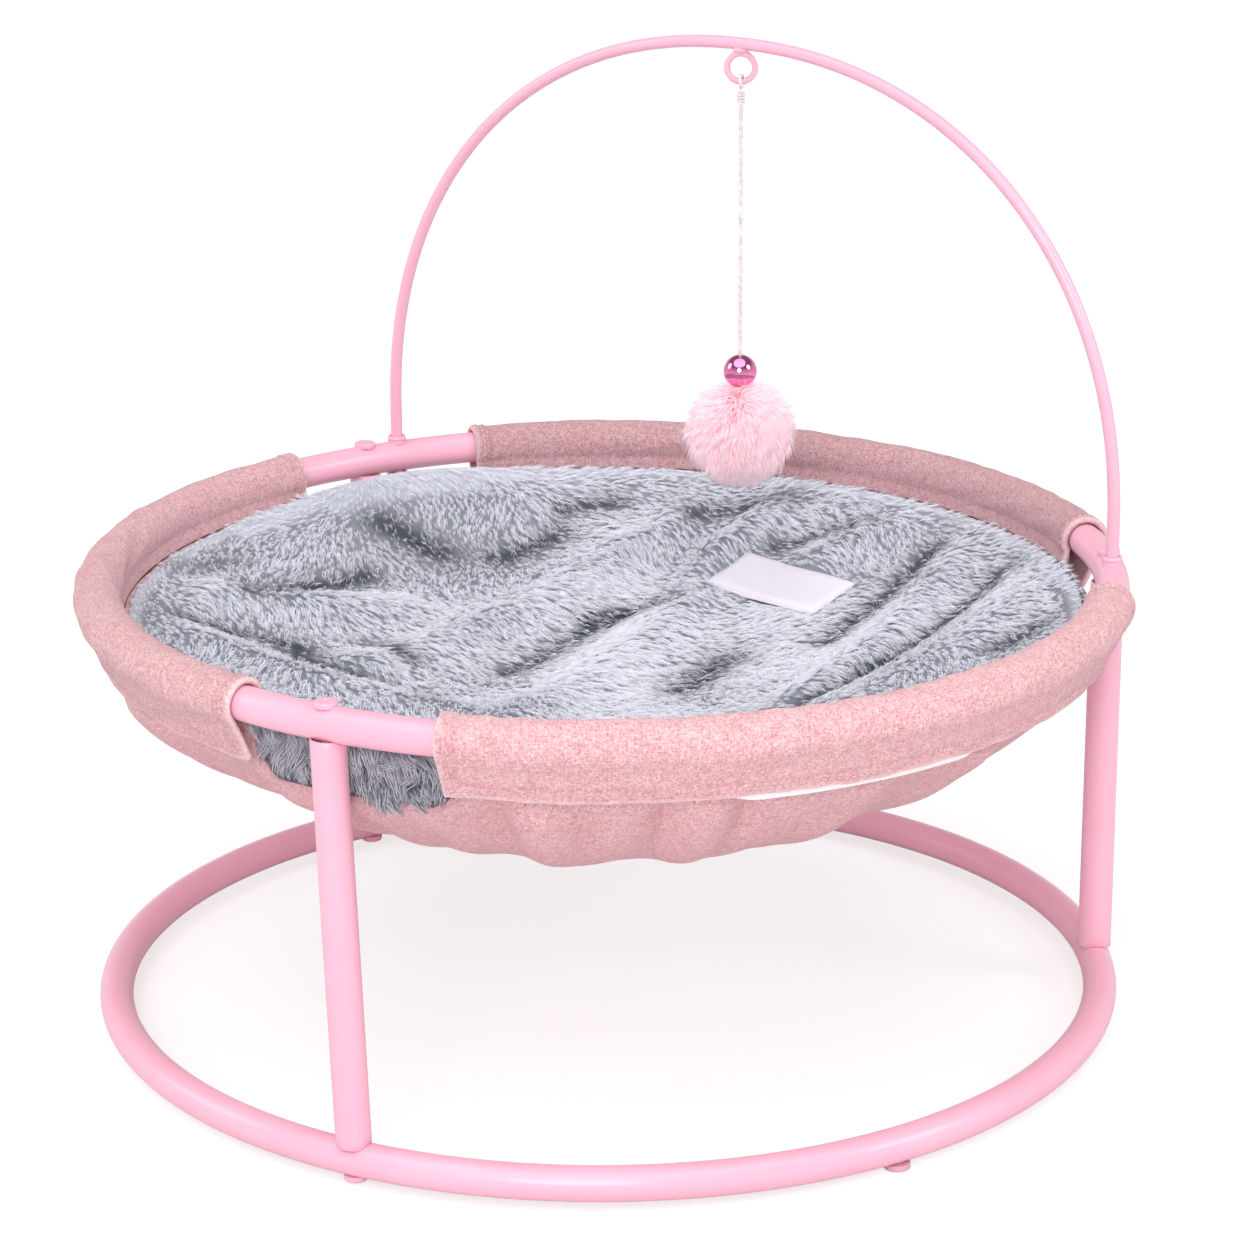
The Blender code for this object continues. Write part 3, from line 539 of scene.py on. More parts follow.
@made_once("node_groups", "hair tone")
def hair_group(name):
    """Hair from its root to its tip, a little different for each tuft and hair, with painted shade: some hairs
    are darkened to stand for the shadowed gaps between hairs, and in the hollows more hairs, and the lower parts
    of all, are darker still.
    """
    group, given, out = new_group(
        name, "ShaderNodeTree", {"Root": "Color", "Tip": "Color", "Dark": 0.25, "Fade": 0.75},
        {"Colour": "Color"})
    along, tuft, shade, strand = (attribute(group, label) for label in ("along", "tuft", "shade", "strand"))
    tone = blend_colours(group, spread_range(group, along, 0.0, given["Fade"]), given["Root"], given["Tip"])
    # Painted shadow: hairs whose strand number passes a threshold are darkened like the gaps between hairs; in
    # the hollows the threshold is lower
    shadow_gap_from = calc(group, "MULTIPLY_ADD", shade, -0.45, 0.80)
    shadow_gap_hairs = spread_range(group, strand, shadow_gap_from, calc(group, "ADD", shadow_gap_from, 0.10))
    # Painted shade in the hollows, deepest at the hair's root
    painted_hollow_shade = calc(group, "MAXIMUM", 0.06, calc(group, "MULTIPLY_ADD", along, -2.1, 0.95))
    painted_hollow_shade = calc(group, "MULTIPLY", shade, calc(group, "MAXIMUM", painted_hollow_shade, calc(group, "MULTIPLY", shadow_gap_hairs, 0.80)))
    # Random tone for each tuft, together with the painted shade of the gap hairs
    uneven = calc(group, "MULTIPLY_ADD", tuft, 0.35, calc(group, "MULTIPLY", shadow_gap_hairs, 0.65))
    depth = calc(group, "MULTIPLY_ADD", uneven, given["Dark"], painted_hollow_shade)
    feed(group, out.inputs["Colour"], blend_colours(group, depth, tone, PAINTED_SHADE_COLOUR))
    return group


# ---- materials ----
def blank_material(name, values):
    """A new material whose shader has its uniform values."""
    material = bpy.data.materials.new(name)
    material.use_nodes = True
    tree = material.node_tree
    shader = tree.nodes["Principled BSDF"]
    for key, value in values.items():
        feed(tree, shader.inputs[key], value)
    return material, tree, shader


def mottled(tree, first, second, patch, grain):
    inputs = {"Place": object_place(tree), "Patch Scale": patch, "Grain Scale": grain, "First": first,
              "Second": second}
    return node(tree, "ShaderNodeGroup", inputs, node_tree=mottle_group()).outputs


def woven(tree, ground, fleck, pitch, slub):
    inputs = {"Place": cloth_place(tree), "Pitch": pitch, "Ground": ground, "Fleck": fleck, "Slub": slub}
    return node(tree, "ShaderNodeGroup", inputs, node_tree=weave_group()).outputs


def dress(tree, shader, colour, height, distance, strength):
    """Feeds a shader its colour and a bump from a height."""
    feed(tree, shader.inputs["Base Color"], colour)
    made = node(tree, "ShaderNodeBump", {"Height": height, "Distance": distance, "Strength": strength})
    feed(tree, shader.inputs["Normal"], made.outputs[0])


@made_once("materials")
def mottled_material(name, first, second, patch, grain, distance, strength, values):
    material, tree, shader = blank_material(name, values)
    skin = mottled(tree, first, second, patch, grain)
    dress(tree, shader, skin["Colour"], skin["Grain"], distance, strength)
    return material


def paint_material():
    colour = colours().paint
    patches = [c * s for c, s in zip(colour, (0.97, 0.93, 0.94))]
    return mottled_material("pink powder coat finish", colour, patches, 14.0, 1100.0, 0.00006, 0.5,
                            {"Roughness": 0.34, "Coat Weight": 0.3, "Coat Roughness": 0.13,
                             "Specular IOR Level": 0.4})


def steel_material():
    return mottled_material("zinc steel finish", (0.66, 0.67, 0.70), (0.50, 0.51, 0.54), 160.0, 2400.0,
                            0.00005, 0.5, {"Metallic": 1.0, "Roughness": 0.33})


def glide_material():
    return mottled_material("moulded glide finish", (0.72, 0.38, 0.47), (0.66, 0.34, 0.43), 90.0, 3000.0,
                            0.00008, 0.6, {"Roughness": 0.5})


def bead_material():
    colour = colours().bead
    return mottled_material("pink plating finish", colour, [c * 0.93 for c in colour], 120.0, 1600.0,
                            0.00001, 0.3, {"Metallic": 1.0, "Roughness": 0.07})


@made_once("materials")
def linen_material(name, deep):
    """The bed's linen, its colour scaled by deep, which below 1 is painted shade; an attribute on the cloth
    paints highlights on its hem edges and shade along its stitch lines.
    """
    material, tree, shader = blank_material(name, {
        "Roughness": 0.88, "Specular IOR Level": 0.25, "Sheen Weight": 0.25, "Sheen Roughness": 0.5,
        "Sheen Tint": (1.0, 0.86, 0.88)})
    ground, fleck = ([c * deep for c in shade] for shade in (colours().linen, colours().linen_light))
    cloth = woven(tree, ground, fleck, sizes().thread_pitch, 1.0)
    fold = attribute(tree, "fold")
    # Painted highlight where the attribute is above 0, painted shade where it is below 0
    lit = blend_colours(tree, calc(tree, "MULTIPLY", fold, 0.40), cloth["Colour"], (1.0, 0.84, 0.85))
    seam_shaded = blend_colours(tree, calc(tree, "MULTIPLY", fold, -0.45), lit, (0.42, 0.13, 0.16))
    dress(tree, shader, seam_shaded, cloth["Height"], 0.00035, 0.8)
    return material


@made_once("materials")
def satin_material(name, ground, fleck, pitch):
    material, tree, shader = blank_material(name, {"Roughness": 0.42, "Sheen Weight": 0.2})
    cloth = woven(tree, ground, fleck, pitch, 0.8)
    dress(tree, shader, cloth["Colour"], cloth["Height"], 0.00008, 0.5)
    return material


@made_once("materials")
def hair_material(name, root, tip, dark, fade, painted_glow):
    material, tree, shader = blank_material(name, {
        "Roughness": 0.6, "Specular IOR Level": 0.2, "Sheen Weight": 0.15, "Sheen Roughness": 0.4,
        "Emission Strength": painted_glow})
    tone = node(tree, "ShaderNodeGroup", {"Root": root, "Tip": tip, "Dark": dark, "Fade": fade},
                node_tree=hair_group()).outputs["Colour"]
    # The hair's colour also feeds its emission: a painted glow that lightens the shade between hairs
    for label in ("Base Color", "Emission Color"):
        feed(tree, shader.inputs[label], tone)
    return material


@made_once("materials")
def backing_material(name, first, second):
    material, tree, shader = blank_material(name, {"Roughness": 0.95})
    skin = mottled(tree, first, second, 60.0, 900.0)
    # Painted shade: the backing darkens towards the shade colour where the shade attribute is high, in the
    # hollows and on the pad's low side
    shaded = blend_colours(tree, attribute(tree, "shade"), skin["Colour"], PAINTED_SHADE_COLOUR)
    dress(tree, shader, shaded, skin["Grain"], 0.0006, 1.0)
    return material


@made_once("materials", "white cord finish")
def cord_material(name):
    """White cord: its strands are a bump that winds along it."""
    material, tree, shader = blank_material(name, {"Roughness": 0.8, "Sheen Weight": 0.3})
    along, across = node(tree, "ShaderNodeSeparateXYZ", {0: cloth_place(tree)}).outputs[:2]
    twist = calc(tree, "SINE", calc(tree, "ADD", calc(tree, "MULTIPLY", along, 2600.0),
                                    calc(tree, "MULTIPLY", across, 3000.0)))
    skin = mottled(tree, (0.88, 0.81, 0.80), (0.70, 0.59, 0.59), 400.0, 5000.0)
    dress(tree, shader, skin["Colour"], calc(tree, "ADD", twist, skin["Grain"]), 0.00008, 0.8)
    return material


# ---- geometry node trees ----
def new_tree(name, inputs):
    return new_group(name, "GeometryNodeTree", {"Geometry": "Geometry", **inputs}, {"Geometry": "Geometry"})


def close_tree(tree, instances, given, out):
    """Every tree ends by making its copies real and giving them their finish."""
    real = node(tree, "GeometryNodeRealizeInstances", {0: instances})
    finish = node(tree, "GeometryNodeSetMaterial", {"Geometry": real.outputs[0], "Material": given["Finish"]})
    feed(tree, out.inputs[0], finish.outputs[0])


def run_tree(obj, tree, name, values):
    """Runs a tree on an object with its named inputs set, and keeps the result as a plain mesh."""
    modifier = obj.modifiers.new("make", "NODES")
    modifier.node_group = tree
    for item in tree.interface.items_tree:
        if item.item_type == "SOCKET" and item.in_out == "INPUT" and item.name in values:
            modifier[item.identifier] = values[item.name]
    bpy.context.view_layer.update()
    evaluated_mesh(obj, name)
    obj.data.polygons.foreach_set("use_smooth", [True] * len(obj.data.polygons))
    obj.data.polygons.foreach_set("material_index", [0] * len(obj.data.polygons))
    obj.data.materials.clear()
    obj.data.materials.append(values["Finish"])


def random_value(tree, kind, low, high, seed):
    """A random vector or number for each point."""
    keys = (0, 1) if kind == "FLOAT_VECTOR" else (2, 3)
    made = node(tree, "FunctionNodeRandomValue", {keys[0]: low, keys[1]: high, "Seed": seed},
                data_type=kind)
    return made.outputs[0 if kind == "FLOAT_VECTOR" else 1]


@made_once("node_groups", "tufts")
def tuft_tree(name):
    """Tufts of hair over a surface, combed along its comb attribute, as long as its pile attribute says."""
    tree, given, out = new_tree(name, {
        "Tufts": "Collection", "Spacing": 0.0029, "Count per Area": 90000.0, "Stray": 0.5, "Shortest": 0.75,
        "Longest": 1.15, "Seed": 1, "Finish": "Material"})
    comb, pile, shade = (
        node(tree, "GeometryNodeInputNamedAttribute", {"Name": label}, data_type=kind).outputs[0]
        for label, kind in (("comb", "FLOAT_VECTOR"), ("pile", "FLOAT"), ("shade", "FLOAT")))
    spread = node(tree, "GeometryNodeDistributePointsOnFaces",
                  {"Mesh": given["Geometry"], "Distance Min": given["Spacing"],
                   "Density Max": given["Count per Area"], "Seed": given["Seed"],
                   "Density Factor": calc(tree, "MULTIPLY_ADD", shade, -0.22, 1.0)}, distribute_method="POISSON")
    wilder = calc(tree, "MULTIPLY", given["Stray"], calc(tree, "MULTIPLY_ADD", shade, 3.0, 1.0))
    widened = node(tree, "ShaderNodeCombineXYZ", {k: wilder for k in range(3)}).outputs[0]
    stray = random_value(tree, "FLOAT_VECTOR", (-1, -1, -1), (1, 1, 1), given["Seed"])
    strayed = node(tree, "ShaderNodeVectorMath", {0: stray, 1: widened, 2: comb}, operation="MULTIPLY_ADD")
    upright = node(tree, "FunctionNodeAlignRotationToVector", {"Vector": spread.outputs["Normal"]}, axis="Z")
    combed = node(tree, "FunctionNodeAlignRotationToVector",
                  {"Rotation": upright.outputs[0], "Vector": strayed.outputs[0]}, axis="X", pivot_axis="Z")
    size = random_value(tree, "FLOAT", given["Shortest"], given["Longest"], 7)
    kinds = node(tree, "GeometryNodeCollectionInfo",
                 {"Collection": given["Tufts"], "Separate Children": True, "Reset Children": True})
    placed = node(tree, "GeometryNodeInstanceOnPoints",
                  {"Points": spread.outputs["Points"], "Instance": kinds.outputs[0], "Pick Instance": True,
                   "Rotation": combed.outputs[0], "Scale": calc(tree, "MULTIPLY", size, pile)})
    chance = random_value(tree, "FLOAT", 0.0, 1.0, 11)
    marked = node(tree, "GeometryNodeStoreNamedAttribute",
                  {"Geometry": placed.outputs[0], "Name": "tuft", "Value": chance},
                  data_type="FLOAT", domain="INSTANCE")
    close_tree(tree, marked.outputs[0], given, out)
    return tree


@made_once("node_groups", "stitches")
def stitch_tree(name):
    """Stitches laid end to end along a line."""
    tree, given, out = new_tree(name, {"Stitch": "Object", "Spacing": 0.0035, "Finish": "Material"})
    line = node(tree, "GeometryNodeMeshToCurve", {0: given["Geometry"]})
    points = node(tree, "GeometryNodeCurveToPoints", {"Curve": line.outputs[0], "Length": given["Spacing"]},
                  mode="LENGTH")
    shape = node(tree, "GeometryNodeObjectInfo", {"Object": given["Stitch"]})
    placed = node(tree, "GeometryNodeInstanceOnPoints",
                  {"Points": points.outputs["Points"], "Instance": shape.outputs["Geometry"],
                   "Rotation": points.outputs["Rotation"]})
    close_tree(tree, placed.outputs[0], given, out)
    return tree


def tuft_shape(name, hairs, length, width, spread, bend_deg, gather, seed, steps=3, fan=0.35):
    """One bundle of three-sided hairs that lean to +X, gathered to a point.

    along runs from 0 at a hair's root to 1 at its tip, and strand is one random number for each hair."""
    luck = random.Random(seed)
    points, faces, along, strand = [], [], [], []
    for k in range(hairs):
        turn = 2 * math.pi * (k + luck.random() * 0.6) / hairs
        reach = spread * (0.35 + 0.65 * luck.random()) if k else 0.0
        root = Vector((reach * math.cos(turn), reach * math.sin(turn), -ROOT_DEPTH))
        side = luck.uniform(-fan, fan)
        part = length * luck.uniform(0.72, 1.0) / steps
        lean = [math.radians(b + luck.uniform(-9, 9)) for b in bend_deg]
        place, path = root.copy(), [root.copy()]
        for j in range(steps):
            out = math.sin(lean[j]) * part
            place = place + Vector((out * math.cos(side), out * math.sin(side), math.cos(lean[j]) * part))
            pulled = gather * (j + 1) / steps
            path.append(Vector((place.x - root.x * pulled, place.y - root.y * pulled, place.z)))
        start = len(points)
        for j in range(steps):
            ahead = (path[j + 1] - path[j]).normalized()
            across = ahead.cross(UP)
            across = across.normalized() if across.length > 1e-6 else Vector((0, 1, 0))
            up = across.cross(ahead)
            half = width / 2 * (1 - 0.30 * j / steps) * luck.uniform(0.9, 1.1)
            for angle in (math.pi / 2, math.pi * 7 / 6, math.pi * 11 / 6):
                points.append(path[j] + across * half * math.cos(angle) + up * half * 0.75 * math.sin(angle))
                along.append(j / steps)
        points.append(path[-1])
        along.append(1.0)
        for j in range(steps - 1):
            for i in range(3):
                a, b = start + 3 * j + i, start + 3 * j + (i + 1) % 3
                faces.append((a, b, b + 3, a + 3))
        last = start + 3 * (steps - 1)
        faces += [(last + i, last + (i + 1) % 3, len(points) - 1) for i in range(3)]
        strand += [luck.random()] * (len(points) - start)
    mesh = raw_mesh(name, points, [], faces)
    store(mesh, "along", along)
    store(mesh, "strand", strand)
    return mesh


def hidden_collection(name, meshes):
    """Shapes for a tree to copy, in a collection that no scene shows."""
    kinds = bpy.data.collections.new(name)
    for mesh in meshes:
        kinds.objects.link(bpy.data.objects.new(mesh.name, mesh))
    return kinds


def drop_collection(kinds):
    for obj in list(kinds.objects):
        drop(obj)
    bpy.data.collections.remove(kinds)


def grow_tufts(name, surface, kinds, material, spacing, count, stray, seed, shortest=0.75, longest=1.15):
    """Hair over a surface of (points, faces, comb, pile, shade); the result is the hair alone."""
    points, faces, comb, pile, shade = surface
    obj = new_object(name, raw_mesh(name, points, [], faces))
    store(obj.data, "comb", comb, "FLOAT_VECTOR")
    store(obj.data, "pile", pile)
    store(obj.data, "shade", shade)
    run_tree(obj, tuft_tree(), name, {
        "Tufts": kinds, "Spacing": spacing, "Count per Area": count, "Stray": stray, "Shortest": shortest,
        "Longest": longest, "Seed": seed, "Finish": material})
    for label in ("comb", "pile"):
        obj.data.attributes.remove(obj.data.attributes[label])
    return obj


def stitch_shape(length, thick):
    """One stitch: a bar along Z with tapered ends."""
    points = [(*around(share * thick / 2, 60 * i)[:2], height * length)
              for share, height in ((0.6, -0.42), (1.0, -0.2), (1.0, 0.2), (0.6, 0.42)) for i in range(6)]
    points += [(0, 0, -length / 2), (0, 0, length / 2)]
    faces = []
    for i in range(6):
        ahead = (i + 1) % 6
        faces += [(6 * j + i, 6 * j + ahead, 6 * j + ahead + 6, 6 * j + i + 6) for j in range(3)]
        faces += [(ahead, i, 24), (18 + i, 18 + ahead, 25)]
    return raw_mesh("one_stitch", points, [], faces)


def stitch_lines(name, lines, material, spacing, length, thick):
    """Thread stitches along lines of points."""
    points, edges = [], []
    for line in lines:
        start = len(points)
        points += [tuple(p) for p in line]
        edges += [(start + k, start + k + 1) for k in range(len(line) - 1)]
    obj = new_object(name, raw_mesh(name, points, edges, []))
    kinds = hidden_collection("stitch shapes", [stitch_shape(length, thick)])
    run_tree(obj, stitch_tree(), name,
             {"Stitch": kinds.objects[0], "Spacing": spacing, "Finish": material})
    drop_collection(kinds)
    corner = np.zeros(len(obj.data.loops), np.int32)
    obj.data.loops.foreach_get("vertex_index", corner)
    co = places_of(obj.data)[corner]
    uv = obj.data.uv_layers.new(name="cloth")
    uv.data.foreach_set("uv", np.stack([co[:, 0] + co[:, 1], co[:, 2]], -1).ravel())
    return obj


# ---- the bed's shapes ----
def pinch(degrees):
    """1 where the rim is bare and the cloth is drawn in, 0 under the sleeves."""
    middles = [(first + last) / 2 for first, last in OPENING_DEG.values()]
    nearest = np.min([np.abs(turned_away(np.asarray(degrees, float), m)) for m in middles], axis=0)
    return 1 - smooth_share(nearest, 9.5, 17)


def band_radius(cloth, height):
    """How far out a sleeve's band hangs at a height, for the cloth's distance from the rim's centre line."""
    drop = RIM_Z + cloth * math.sin(BAND_LEAVES) - height
    return RING_R + cloth * math.cos(BAND_LEAVES) + drop * math.tan(BAND_LEAVES)


def shell_radius(drawn):
    held = band_radius(SLEEVE_INNER, SHELL_RIM) - SHELL_CLEARANCE
    return held + (RING_R - TUBE_R - SHELL_WALL - held) * drawn


def ripple(degrees, seed, low, high, count=7):
    """A smooth wave round the bed, mostly between -1 and 1."""
    luck = random.Random(seed)
    wave = np.zeros_like(np.asarray(degrees, float))
    for _ in range(count):
        wave = wave + math.sqrt(1 / count) * np.sin(np.radians(degrees) * luck.randint(low, high)
                                                    + luck.uniform(0, 2 * math.pi))
    return wave


def bowl_rows(shares, degrees, inset):
    """Points of the bowl at shares of its radius, with its gathers, creases and puffs."""
    drawn = pinch(degrees)
    radius = shell_radius(drawn)
    rim = SHELL_RIM - RIM_DIP * drawn
    wave = np.maximum(0, np.cos(np.radians(24 * (degrees - 5)))) ** 2
    waves = 0.0015 * ripple(degrees, 5, 6, 22) + 0.0006 * ripple(degrees, 9, 30, 60)
    belly = 0.0090 * bell(degrees, 226, 20)
    creased = sum(height * bell(degrees, middle, width)
                  for middles, height, width in BOWL_CREASES for middle in middles)
    raised = 0.0070 * bell(degrees, 262, 24) + 0.0065 * bell(turned_away(degrees, -6), 0, 24)
    rows = []
    for share in shares:
        gather = 0.0018 * wave * smooth_share(share, 0.7, 0.95) * (1 - drawn)
        soft = smooth_share(share, 0.35, 0.85) * (1 - smooth_share(share, 0.95, 1.0))
        upper = smooth_share(share, 0.72, 0.93) * (1 - smooth_share(share, 0.965, 1.0)) * (1 - drawn)
        puff = soft * waves + (belly + creased) * upper
        shallow = raised * smooth_share(share, 0.30, 0.68) * (1 - smooth_share(share, 0.88, 0.99))
        groove = 0.0026 * bell(share, 0.990, 0.009) * (1 - drawn)
        reach = share * (radius - inset) - gather * 0.35 + puff * 0.8 - groove
        height = (SHELL_FLOOR + (rim - SHELL_FLOOR) * share ** 5.5 + inset * (1 - share * share)
                  - puff * 0.5 + shallow)
        rows.append(polar(reach, np.radians(degrees), height))
    return rows


def lip_rows(shares, degrees, inset):
    """Points of the bowl's edge where it turns up and in under the sleeves."""
    left = 1 - 0.75 * pinch(degrees)
    base = bowl_rows([1.0], degrees, 0.0)[0]
    out = np.hypot(base[:, 0], base[:, 1])
    return [polar(out - 0.0036 * share * share * left - inset, np.radians(degrees),
                  base[:, 2] + 0.0115 * share * left - inset * share / 2) for share in shares]


def along_folds(x, y, folds):
    """How deep in the folds places are: 1 on a fold's line, fading across its width."""
    depth = np.zeros_like(np.asarray(x, float))
    for start, end, width in folds:
        first, last = np.array(start) * PLUSH_R, np.array(end) * PLUSH_R
        run = last - first
        along = np.clip(((x - first[0]) * run[0] + (y - first[1]) * run[1]) / (run @ run), 0, 1)
        depth = depth + bell(np.hypot(x - first[0] - run[0] * along, y - first[1] - run[1] * along),
                             0, width * PLUSH_R)
    return depth


def label_place(x, y):
    """A place on the pad, seen from the label's middle along its sides."""
    cos, sin = math.cos(LABEL_TURN), math.sin(LABEL_TURN)
    off_x, off_y = x - LABEL_PLACE[0], y - LABEL_PLACE[1]
    return off_x * cos + off_y * sin, off_y * cos - off_x * sin


def past_label(x, y, shift=0.0):
    """How far a place is outside the label, less than 0 inside; shift moves the label to its far left."""
    across, down = label_place(x, y)
    return np.maximum(np.abs(across + shift) - LABEL_SIZE[0] / 2,
                      np.abs(down - shift) - LABEL_SIZE[1] / 2)


def plush_top(x, y):
    """The height of the pad's face with its ridges, hollows, the label's seat and its heap at the back left."""
    share = np.minimum(1.0, np.hypot(x, y) / PLUSH_R)
    sag = PLUSH_SAG * (1 - share ** 2.2)
    relief = RIDGE_HIGH * along_folds(x, y, RIDGES) - HOLLOW_DEEP * along_folds(x, y, HOLLOWS)
    seat = 1 - smooth_share(past_label(x, y), -0.004, 0.010)
    relief = relief * (1 - 0.75 * seat) - HOLLOW_DEEP * seat
    far = turned_away(np.degrees(np.arctan2(y, x)), 152)
    heap = 0.0070 * bell(far, 0, 19) * smooth_share(share, 0.66, 0.96)
    edge = 0.0012 * smooth_share(share, 0.90, 1.0)
    return PLUSH_EDGE - sag + relief * (1 - smooth_share(share, 0.82, 1.0)) + heap + edge


# ---- operators ----
def piece_operator(cls):
    """Fits the settings that every operator here shares."""
    cls.bl_options = {"REGISTER", "UNDO"}
    return cls


@piece_operator
class CATBED_OT_stage(bpy.types.Operator):
    """Floor, soft studio light and the camera at the photograph's angle"""

    bl_idname = "catbed.stage"
    bl_label = "Stage"

    # Name, place, aim, power and width of each soft lamp
    lamps = (("front_light", (0.9, -1.9, 1.0), (0, 0, 0.15), 22, 1.1),
             ("left_light", (-2.5, -1.1, 1.6), (0, 0, 0.2), 18, 1.6),
             ("right_light", (2.5, 0.6, 1.7), (0, 0, 0.2), 24, 1.3))
    # The camera's sides in the part's frame, and its place, from the fit to the photograph
    camera_sides = ((0.843298, 0.537413, -0.005952), (-0.162067, 0.26484, 0.950576),
                    (0.512428, -0.800654, 0.310436))
    camera_place = (0.97842, -1.50991, 0.77437)
    camera_lens = 113.654

    def execute(self, context):
        scene = context.scene
        scene.view_settings.view_transform = "Standard"
        scene.view_settings.look = "None"
        self.world(scene)
        half = 14
        corners = [(-half, -half, 0), (half, -half, 0), (half, half, 0), (-half, half, 0)]
        mesh_piece("floor", corners, [(0, 1, 2, 3)], self.floor_finish())
        for name, place, aim, power, width in self.lamps:
            lamp = bpy.data.lights.new(name, "AREA")
            lamp.shape = "DISK"
            lamp.size = width
            self.hang(name, lamp, power, place, aim)
        sky = bpy.data.lights.new("sky_light", "SUN")
        sky.angle = math.radians(70)
        self.hang("sky_light", sky, 1.9, (0.2, -0.7, 2.4), (0, 0, 0))
        camera = new_object("camera", bpy.data.cameras.new("camera"))
        turn = Matrix([Vector(side) for side in self.camera_sides]).transposed().to_4x4()
        camera.matrix_world = Matrix.Translation(self.camera_place) @ turn
        camera.data.lens = self.camera_lens
        camera.data.sensor_width = 36
        camera.data.sensor_fit = "HORIZONTAL"
        camera.data.clip_end = 60
        scene.camera = camera
        return {"FINISHED"}

    def hang(self, name, lamp, power, place, aim):
        lamp.energy = power
        obj = new_object(name, lamp)
        obj.location = place
        obj.rotation_euler = (Vector(aim) - Vector(place)).to_track_quat("-Z", "Y").to_euler()

    def world(self, scene):
        """A room that is bright at the level of the bed and darker overhead."""
        world = bpy.data.worlds.new("studio")
        scene.world = world
        world.use_nodes = True
        tree = world.node_tree
        place = node(tree, "ShaderNodeTexCoord").outputs["Generated"]
        height = node(tree, "ShaderNodeSeparateXYZ", {0: place}).outputs[2]
        ramp = node(tree, "ShaderNodeValToRGB", {0: height})
        stops = zip(ramp.color_ramp.elements, (0.10, 0.55), ((1.0, 0.99, 0.99), (0.30, 0.29, 0.30)))
        for stop, at, colour in stops:
            stop.position = at
            stop.color = (*colour, 1)
        back = tree.nodes["Background"]
        feed(tree, back.inputs[0], ramp.outputs[0])
        feed(tree, back.inputs[1], 0.80)

    def floor_finish(self):
        """A white studio floor: what the camera sees of it is lifted, so only soft shadows are left on it."""
        material, tree, shader = blank_material(
            "studio floor finish", {"Roughness": 0.9, "Specular IOR Level": 0.1})
        skin = mottled(tree, (0.76, 0.75, 0.76), (0.75, 0.74, 0.75), 1.5, 60.0)
        feed(tree, shader.inputs["Base Color"], skin["Colour"])
        seen = node(tree, "ShaderNodeBsdfPrincipled", {
            "Base Color": (0.40, 0.39, 0.40), "Roughness": 0.9, "Specular IOR Level": 0.0,
            "Emission Color": (1.0, 1.0, 1.0), "Emission Strength": 0.66})
        to_camera = node(tree, "ShaderNodeLightPath").outputs["Is Camera Ray"]
        mixed = node(tree, "ShaderNodeMixShader", {0: to_camera, 1: shader.outputs[0], 2: seen.outputs[0]})
        feed(tree, tree.nodes["Material Output"].inputs[0], mixed.outputs[0])
        return material


@piece_operator
class CATBED_OT_tubes(bpy.types.Operator):
    """The two bent rings and the three legs"""

    bl_idname = "catbed.tubes"
    bl_label = "Rings and Legs"

    def execute(self, context):
        paint = paint_material()
        section = turns(32)
        for name, height in (("rim_ring", RIM_Z), ("base_ring", BASE_Z)):
            rows = polar(RING_R + TUBE_R * np.cos(section), turns(192)[:, None],
                         height + TUBE_R * np.sin(section))
            ring = grid_piece(name + "_tube", rows, paint, wrap_rows=True)
            place_piece(ring, "bed", "pink_powder_coat", name)
        for side in LEG_BASE_DEG:
            self.leg(side, paint)
        return {"FINISHED"}

    def leg(self, side, paint):
        """A tube whose ends are cut to fit the rings, with rounded edges and a short way of its bore."""
        foot, lean = leg_axis(side)
        turn = turns(64)
        seat = TUBE_R + LEG_CLEARANCE
        bite = 0.0015
        search, steps = 0.012, 400

        def loop(radius, heights):
            return polar(radius, turn, heights, (foot.x + lean.x * heights, foot.y + lean.y * heights))

        def end_heights(ring, sign):
            """Where each line of the tube meets the ring, but no farther than its flat cut."""
            flat = ring + sign * (TUBE_R - bite)
            heights = np.linspace(ring, ring + sign * search, steps)
            found = []
            for angle in turn:
                x = foot.x + lean.x * heights + TUBE_R * math.cos(angle)
                y = foot.y + lean.y * heights + TUBE_R * math.sin(angle)
                free = np.hypot(np.hypot(x, y) - RING_R, heights - ring) >= seat
                clear = heights[np.argmax(free)] if free.any() else flat
                found.append(min(clear, flat) if sign < 0 else max(clear, flat))
            return np.array(found)

        bore, edge, deep = TUBE_R - 0.001, 0.0003, 0.012
        top, low = end_heights(RIM_Z, -1), end_heights(BASE_Z, 1)
        rows = [loop(TUBE_R, low + edge)]
        rows += [loop(TUBE_R, low + edge + (top - low - 2 * edge) * t) for t in (0.02, 0.5, 0.98)]
        rows += [loop(TUBE_R, top - edge), loop(TUBE_R - edge, top), loop(bore + edge, top)]
        rows += [loop(bore, top - edge), loop(bore, top - deep), loop(bore, low + deep), loop(bore, low + edge)]
        rows += [loop(bore + edge, low), loop(TUBE_R - edge, low)]
        leg = grid_piece("leg_" + side + "_tube", rows, paint, wrap_rows=True)
        place_piece(leg, "bed", "pink_powder_coat", "leg_" + side)


